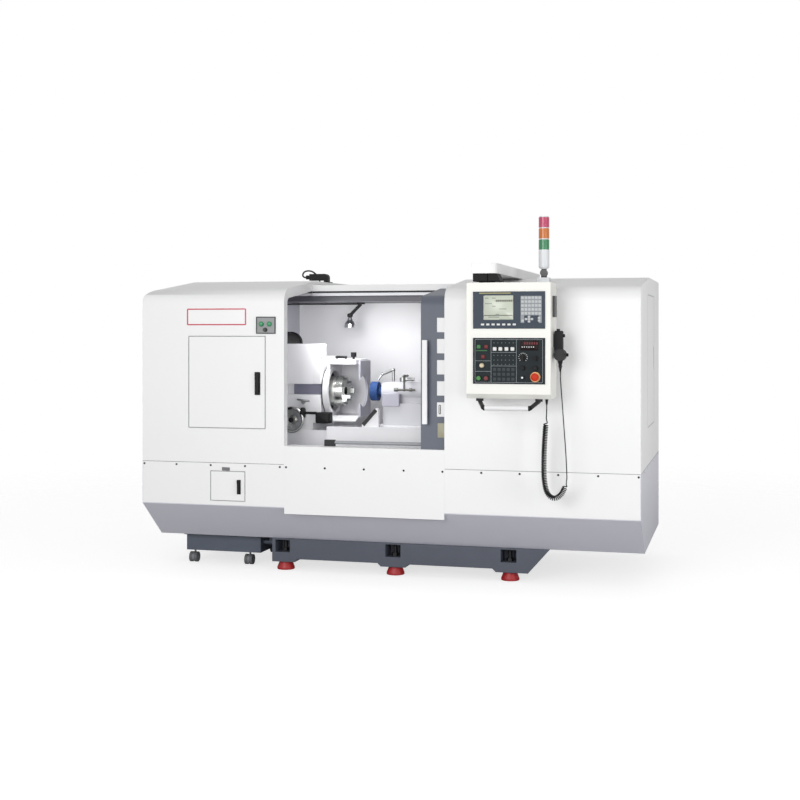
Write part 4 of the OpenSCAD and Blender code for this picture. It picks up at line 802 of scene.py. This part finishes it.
# Slide cover: folded white sheet over the wheel slide, with an apron down its front and a wedge at its left
# end. A black rubber wiper is screwed along the wedge's slope.
slide_low, slide_high = np.array(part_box("wheel_slide"))
apron_y, deck_z, cover_t = slide_low[1] - 0.044, 0.844, 0.008
cover_x0, cover_x1, apron_left = slide_low[0], slide_high[0], slide_low[0] - 0.210
deck_low, deck_back, tongue_back = deck_z - cover_t, slide_low[1] + 0.045, apron_y + 0.018
wedge_y, wedge_d, wiper_t = slide_low[1] - 0.008, 0.036, 0.004
wedge = [(-0.2300, 0.843), (-0.2300, 0.862), (-0.1500, 0.953), (-0.1260, 0.953), (-0.1260, 0.843)]
wiper = [(-0.2300, 0.862), (-0.1500, 0.953), (-0.1335, 0.9385), (-0.2135, 0.8475)]
fitted("slide_cover", [
    strip(apron_left, cover_x1, apron_y, apron_y + cover_t, slide_low[2] + 0.020, deck_z),
    strip(cover_x0, cover_x1, apron_y + cover_t, deck_back, deck_low, deck_z),
    strip(apron_left, cover_x0, apron_y + cover_t, tongue_back, deck_low, deck_z),
    carried(wedge, -wedge_y, -wedge_y - wedge_d, FRONT)], head_white, "long_slide", "white_paint")
fitted("slide_wiper", [carried(wiper, -wedge_y, wiper_t - wedge_y, FRONT)], rubber,
       "long_slide", "black_rubber")


# Work lamp: a bright spun reflector that tilts on a black jointed arm under the light box.
# The arm is a casting and shares the motor's black enamel.
dress(textured("lamp_metal", (0.66, 0.67, 0.69), 0.25, 600, 0.0001, 0.1, 10, 1.0), "lamp_head")


# Boom and swivel: a folded white box on the roof, under which the pendant hangs from two black cast blocks
# that turn on each other.
dress(textured("swivel_black", soft_black, 0.6, 500, 0.0003, 0.2, 10, rounding=0.002, gloss=0.2),
      "swivel")


# Pendant: a cream coated sheet box under the boom's swivel, with a dark vent on its right side, the display
# unit above and the operator panel below.
cream = textured("cream_coat", (0.85, 0.845, 0.80), 0.36, *orange_peel, 0.03, 2, rounding=0.003)
vent_x = (1.0035, 1.1)
split_by(cream, "X", *vent_x, (0.05, 0.05, 0.055))
dress(cream, "pendant_box")
bezel = textured("bezel_blue", (0.036, 0.050, 0.071), 0.5, 1200, 0.0001, 0.1, 10, rounding=0.002, gloss=0.3)
dress(bezel, "display_unit")
dress(textured("membrane_grey", (0.017, 0.023, 0.026), 0.55, 1200, 0.0001, 0.1, 10, rounding=0.001,
               gloss=0.15), "operator_panel")


# Display: a liquid-crystal screen behind the bezel, with rows of plain bars on it, seven soft keys below it,
# a grey keypad on the right and an olive strip along the top of the bezel.
low, high = np.array(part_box("display_unit"))
face = low[1]
wide, tall = high[0] - low[0], high[2] - low[2]
screen_w, screen_h, screen_sunk = wide * 0.417, tall * 0.663, 0.003
screen_mid = np.array((low[0] + wide * 0.146 + screen_w / 2, face + screen_sunk,
                       low[2] + tall * 0.235 + screen_h / 2))
cells_x, cells_z, cell_fill, cell_share = 52, 70, 0.2, 0.8
lcd = textured("lcd_glass", (0.56, 0.60, 0.50), 0.18, 900, 0.00002, 0.06, 15)
tree = lcd.node_tree
place = add_node(tree, "TexCoord")
scaled = add_node(tree, "Mapping")
scaled.inputs["Location"].default_value = (0, 0, -screen_mid[2] * cells_z)
scaled.inputs["Scale"].default_value = (cells_x, 0, cells_z)
cells = add_node(tree, "VectorMath", "FLOOR")
chance = add_node(tree, "TexWhiteNoise")
inner = add_node(tree, "VectorMath", "FRACTION")
axes = add_node(tree, "SeparateXYZ")
row = add_node(tree, "Math", "COMPARE")
row.inputs[1].default_value = 0.5
row.inputs[2].default_value = cell_fill
some = add_node(tree, "Math", "GREATER_THAN")
some.inputs[1].default_value = cell_share
both = add_node(tree, "Math", "MULTIPLY")
wire(tree, (place, "Object", scaled, "Vector"), (scaled, "Vector", cells, 0), (scaled, "Vector", inner, 0),
     (cells, 0, chance, "Vector"), (inner, 0, axes, 0), (axes, "Z", row, 0), (chance, "Value", some, 0),
     (row, 0, both, 0), (some, 0, both, 1))
paint_over(lcd, both, (0.30, 0.34, 0.29))
screen_line = [(0, 0), (0.0014, 0), (0.0018, 0.0006)]
fitted("display_screen", [moulding(screen_w - 0.001, screen_h - 0.001, 0.002, screen_line, screen_mid,
                                   FRONT)], lcd, "pendant", "display_plastic")


def on_face(x, z, out=0.0):
    """Places on the panel's face, out from it by so much."""
    x, z = np.broadcast_arrays(np.atleast_1d(x), z)
    return np.stack([x.ravel(), np.full(x.size, face - out), z.ravel()], -1)


def caps(places, width, height, corner, proud):
    """Key caps: moulded blocks with a softened crown, at many places on the panel's face."""
    profile = [(0, 0), (proud * 0.6, 0), (proud * 0.85, proud * 0.12), (proud, proud * 0.4)]
    return copies(moulding(width, height, corner, profile, (0, 0, 0), FRONT), places)


key_grain = (1400, 0.0001, 0.05)
key_grey = textured("key_grey", (0.50, 0.52, 0.53), 0.4, *key_grain)
pad_grey = textured("pad_grey", (0.26, 0.28, 0.30), 0.45, *key_grain)
key_white = textured("key_white", (0.72, 0.73, 0.72), 0.35, *key_grain)
soft_key, pad_key = (0.017, 0.010, 0.002, 0.0028), (0.0145, 0.0135, 0.002, 0.0024)
cursor_key, digit_bar = (0.0135, 0.0115, 0.002, 0.0024), (0.0055, 0.011, 0.001, 0.0004)
level_bar = (screen_w - 0.008, 0.0035, 0.001, 0.0004)
soft_x, soft_z = np.linspace(low[0] + 0.052, low[0] + 0.222, 7), low[2] + 0.022
pad_x, pad_z = low[0] + np.array((0.255, 0.367)), low[2] + np.array((0.030, 0.172))
pad_mid, cursor_z, pad_proud = pad_x.mean(), pad_z[0] + 0.020, 0.001
columns, rows = np.meshgrid(np.linspace(pad_x[0] + 0.0105, pad_x[1] - 0.0105, 6),
                            np.linspace(pad_z[0] + 0.050, pad_z[1] - 0.010, 5))
cursor_x = pad_mid + np.array((-0.011, -0.011, -0.011, -0.0265, 0.0045, 0.0425, 0.0425, -0.045))
cursor_rows = cursor_z + np.array((0.0125, -0.0125, 0, 0, 0, 0.006, -0.008, -0.008))
readout_x, readout_z = np.linspace(low[0] + 0.127, low[0] + 0.216, 10), high[2] - 0.049
bar_z, bar_sunk = low[2] + 0.070, -0.0016
fitted("soft_keys", [caps(on_face(soft_x, soft_z), *soft_key)],
       key_white, "pendant", "white_plastic")
fitted("key_pad", [moulding(pad_x[1] - pad_x[0], pad_z[1] - pad_z[0], 0.004, thin_plate,
                            (pad_mid, face, pad_z.mean()), FRONT)], pad_grey, "pendant", "display_plastic")
fitted("pad_keys", [caps(on_face(columns, rows, pad_proud), *pad_key),
                    caps(on_face(cursor_x, cursor_rows, pad_proud), *cursor_key)],
       key_grey, "pendant", "display_plastic")
fitted("top_strip", [moulding(0.170, 0.007, 0.002, [(0, 0), (0.0006, 0), (0.0009, 0.0003)],
                              (low[0] + 0.118, face, high[2] - 0.0085), FRONT)],
       textured("olive_strip", (0.27, 0.25, 0.10), 0.4, 1400, 0.0001, 0.1), "pendant", "display_plastic")
fitted("pad_ground", [moulding(0.078, 0.040, 0.003, [(0, 0), (0.0010, 0), (0.0014, 0.0005)],
                               (pad_mid + 0.002, face, cursor_z), FRONT)],
       bezel, "pendant", "display_plastic")
fitted("screen_bars", [caps(on_face(readout_x, readout_z, bar_sunk), *digit_bar),
                       caps(on_face(screen_mid[0], bar_z, bar_sunk), *level_bar)],
       pad_grey, "pendant", "display_plastic")


# Operator panel: a dark membrane with thin pale group outlines, lit keys, four white keys, a red counter, a
# white scale ring round the feed selector, small knobs, lamp dots and a yellow ring round the stop button.
def line_bar(x0, x1, z0, z1):
    """A thin printed line that fills a box on the membrane and is barely proud of it."""
    return moulding(x1 - x0, z1 - z0, 0.0004, [(0, 0), (0.0003, 0), (0.0004, 0.0001)],
                    ((x0 + x1) / 2, face, (z0 + z1) / 2), FRONT)


line_w, group_x, group_z = 0.0014, (0.6867, 0.8221), (1.1455, 1.3715)
level_lines = [(0.6885, 0.8215, 1.3027), (0.6885, 0.8215, 1.2314), (0.6015, 0.6860, 1.2580),
               (0.6015, 0.6860, 1.2020)]
fitted("group_outlines", [frame_ring(0.362, 0.228, 0.004, line_w, 0.0004, (0.7815, face, 1.2585), FRONT)]
       + [line_bar(x, x + line_w, *group_z) for x in group_x]
       + [line_bar(x0, x1, z, z + line_w) for x0, x1, z in level_lines],
       textured("line_grey", (0.38, 0.42, 0.44), 0.5), "pendant", "white_plastic")
lit_key, green_bar = (0.0195, 0.0195, 0.003, 0.0062), (0.060, 0.004, 0.001, 0.001)
flat_key, counter_bar = (0.0165, 0.0165, 0.002, 0.0012), (0.007, 0.013, 0.001, 0.0005)
lit_green = textured("lit_green", (0.05, 0.20, 0.06), 0.35, gloss=0.3)
lit_red = textured("lit_red", (0.16, 0.015, 0.018), 0.35, gloss=0.3)
fitted("white_keys", [caps(on_face((0.7071, 0.7378, 0.7701, 0.8020), 1.3219), *lit_key)],
       key_white, "pendant", "white_plastic")
fitted("green_keys", [caps(on_face(0.6211, 1.3331), *lit_key),
                      caps(on_face(0.636, 1.3125), *green_bar)],
       lit_green, "pendant", "button_green")
fitted("red_keys", [caps(on_face((0.6610, 0.6441), (1.3331, 1.2799)), *lit_key)],
       lit_red, "pendant", "button_red")
dot = turned([(0, 0.0032), (0.001, 0.0032), (0.0018, 0.002), (0.002, 0.0003)], (0, 0, 0), FRONT, 10)
dot_x, dot_z = np.meshgrid(np.linspace(0.703, 0.806, 6), (1.354, 1.288, 1.263, 1.240))
fitted("lamp_dots", [copies(dot, on_face(dot_x, dot_z))],
       textured("dot_grey", (0.10, 0.14, 0.13), 0.4, gloss=0.3), "pendant", "button_green")
flat_x, flat_z = np.meshgrid(np.linspace(0.706, 0.804, 5), (1.213, 1.188, 1.162))
fitted("flat_keys", [caps(on_face(flat_x, flat_z), *flat_key)],
       textured("flat_grey", (0.040, 0.050, 0.055), 0.5, *key_grain, gloss=0.25),
       "pendant", "panel_plastic")
counter_at, counter_proud = (0.8925, face, 1.3405), 0.0019
fitted("counter", [moulding(0.097, 0.052, 0.003, [(0, 0), (0.0015, 0), (0.002, 0.0008)], counter_at, FRONT)],
       textured("counter_dark", (0.010, 0.003, 0.004), 0.35, 900, 0.00002, 0.3, 120, gloss=0.15), "pendant",
       "button_red")
fitted("counter_bars", [caps(on_face(np.linspace(0.868, 0.932, 6), 1.3515, counter_proud), *counter_bar)],
       lit_red, "pendant", "button_red")
fitted("counter_dots", [copies(dot, on_face(np.linspace(0.854, 0.914, 6), 1.3325, counter_proud))], key_white,
       "pendant", "white_plastic")
selector_mid = np.array(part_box("feed_selector")).mean(0)
tick = np.linspace(-0.75, 0.75, 11)[:, None] * np.pi
ring_in, ring_out, tick_half, tick_proud = 0.0190, 0.0250, 0.0011, 0.0006
tick_side, tick_r = np.array([(-1, ring_in), (1, ring_in), (1, ring_out), (-1, ring_out)]).T
tick_x = selector_mid[0] + np.sin(tick) * tick_r + np.cos(tick) * tick_side * tick_half
tick_z = selector_mid[2] + np.cos(tick) * tick_r - np.sin(tick) * tick_side * tick_half
fitted("feed_scale", [stacked(np.stack([on_face(x, z), on_face(x, z, tick_proud)]))
                      for x, z in zip(tick_x, tick_z)], key_white, "pendant", "white_plastic")
small_knob = np.array([(0, 0.0125), (0.003, 0.0125), (0.004, 0.0112), (0.015, 0.0105), (0.0175, 0.0095),
                       (0.0178, 0.0003)])
fitted("small_knobs", [turned(small_knob, at, FRONT, 20) for at in on_face((0.8580, 0.9248), 1.2221)],
       latch_black, "pendant", "black_plastic")
fitted("override_knob", [turned(small_knob * (1, 0.55), (0.8561, face, 1.1715), FRONT, 20)],
       key_white, "pendant", "white_plastic")
fitted("lock_switch", [turned(small_knob, (0.6380, face, 1.2340), FRONT, 20)],
       textured("knob_beige", (0.68, 0.58, 0.40), 0.4), "pendant", "white_plastic")
stop_mid = np.array(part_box("emergency_stop")).mean(0)
stop_at = (stop_mid[0], face, stop_mid[2])
fitted("stop_surround", [frame_ring(0.054, 0.054, 0.027, 0.0095, 0.002, stop_at, FRONT)],
       textured("surround_yellow", (0.80, 0.42, 0.16), 0.4), "pendant", "white_plastic")
button_mid = [np.array(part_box(node)).mean(0) for node in ("start_button", "halt_button")]
fitted("button_collars", [frame_ring(0.0304, 0.0304, 0.0152, 0.0034, 0.005, (mid[0], face, mid[2]), FRONT)
                          for mid in button_mid], latch_black, "pendant", "black_plastic")


# Controls that move: a red moulded mushroom on a stem for the emergency stop, two round push buttons and two
# black pointer selectors.
mushroom = [(-0.0004, 0.0110), (0.013, 0.0110), (0.0145, 0.0195), (0.017, 0.0208), (0.022, 0.0208),
            (0.0262, 0.0185), (0.0290, 0.0125), (0.0300, 0.0006)]
fitted("stop_mushroom", [turned(mushroom, stop_at, FRONT, 40)],
       textured("stop_red", (0.56, 0.035, 0.012), 0.45, 900, 0.0001, gloss=0.2),
       "stop", "stop_red", "emergency_stop")
dress(lit_red, "halt_button")
dress(textured("start_green", (0.06, 0.26, 0.06), 0.4, 900, 0.0001, gloss=0.3), "start_button")
dress(latch_black, "feed_selector", "mode_selector")


# Grip bar: a white plastic bar on two black angled brackets, which are bolted below the pendant's front edge.
# One material serves both, white between the brackets.
grip = textured("grip_black", soft_black, 0.45, 1200, 0.0001, 0.05, gloss=0.3)
bar_span = (0.661, 0.892)
split_by(grip, "X", *bar_span, (0.80, 0.80, 0.81))
dress(grip, "handle_bar")


# Hand pulse generator: a black moulded grip with a round case below it, a tapered gland for the cord and
# small knobs. It hangs on the pendant's right side, and its dial turns on the case.
unit_low = np.array(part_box("pulse_generator")[0])
dial_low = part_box("pulse_dial")[0]
unit_d, unit_h, case_r, dial_r, grip_w = 0.042, 0.196, 0.033, 0.031, 0.046
case_at = np.array((dial_low[0] + dial_r, unit_low[1] + unit_d, dial_low[2] + dial_r))
unit_y = unit_low[1] + unit_d / 2
grip_top = unit_low[2] + unit_h - 0.011
case_line = [(0, tip), (0, case_r - 0.003), (0.003, case_r), (unit_d - 0.003, case_r),
             (unit_d, case_r - 0.003), (unit_d, tip)]
grip_line = [(0.002, 0.003), (0.005, 0), (unit_d - 0.005, 0), (unit_d - 0.002, 0.003)]
gland_line = [(0, 0.008), (0.022, 0.013), (0.040, 0.013), (0.040, tip)]
knob_line = [(-0.008, 0.009), (0.007, 0.009), (0.010, 0.0075), (0.010, tip)]
fitted("hand_unit", [
    turned(case_line, case_at, FRONT, 40),
    moulding(grip_w, grip_top - case_at[2], 0.008, grip_line,
             (unit_low[0] + grip_w / 2, case_at[1], (grip_top + case_at[2]) / 2), FRONT),
    turned(gland_line, (cord_route[-1, 0], unit_y, unit_low[2]), TOP),
    turned(knob_line, (unit_low[0] + grip_w, unit_y, unit_low[2] + 0.81 * unit_h), RIGHT, 20),
    turned(knob_line, (case_at[0] + case_r, unit_y, case_at[2]), RIGHT, 20),
    turned(knob_line, (unit_low[0] + 0.0207, unit_y, grip_top), TOP, 20)],
       latch_black, "pendant", "black_plastic", "pulse_generator")
dress(textured("dial_black", (0.014, 0.014, 0.015), 0.4, 900, 0.0001, gloss=0.25), "pulse_dial")


# Signal tower: a pale moulded body on a black elbow, and red, amber and green lenses that are stacked on it
# between clear rings.
tower_white = textured("tower_white", (0.74, 0.76, 0.78), 0.3, 1200, 0.0001, 0.05)
elbow_z = (1.7185, 1.7675)
split_by(tower_white, "Z", *elbow_z, (0.02, 0.02, 0.022))
dress(tower_white, "tower_base")
lens = textured("tower_lens", (0.72, 0.74, 0.76), 0.15, 900, 0.0001, 0.05)
lens_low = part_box("tower_lenses")[0][2]
lens_h, ring_h = 0.057, 0.006
for level, colour in enumerate(((0.035, 0.22, 0.09), (0.60, 0.17, 0.03), (0.52, 0.06, 0.14))):
    start = lens_low + level * (lens_h + ring_h)
    split_by(lens, "Z", start, start + lens_h, colour)
dress(lens, "tower_lenses")
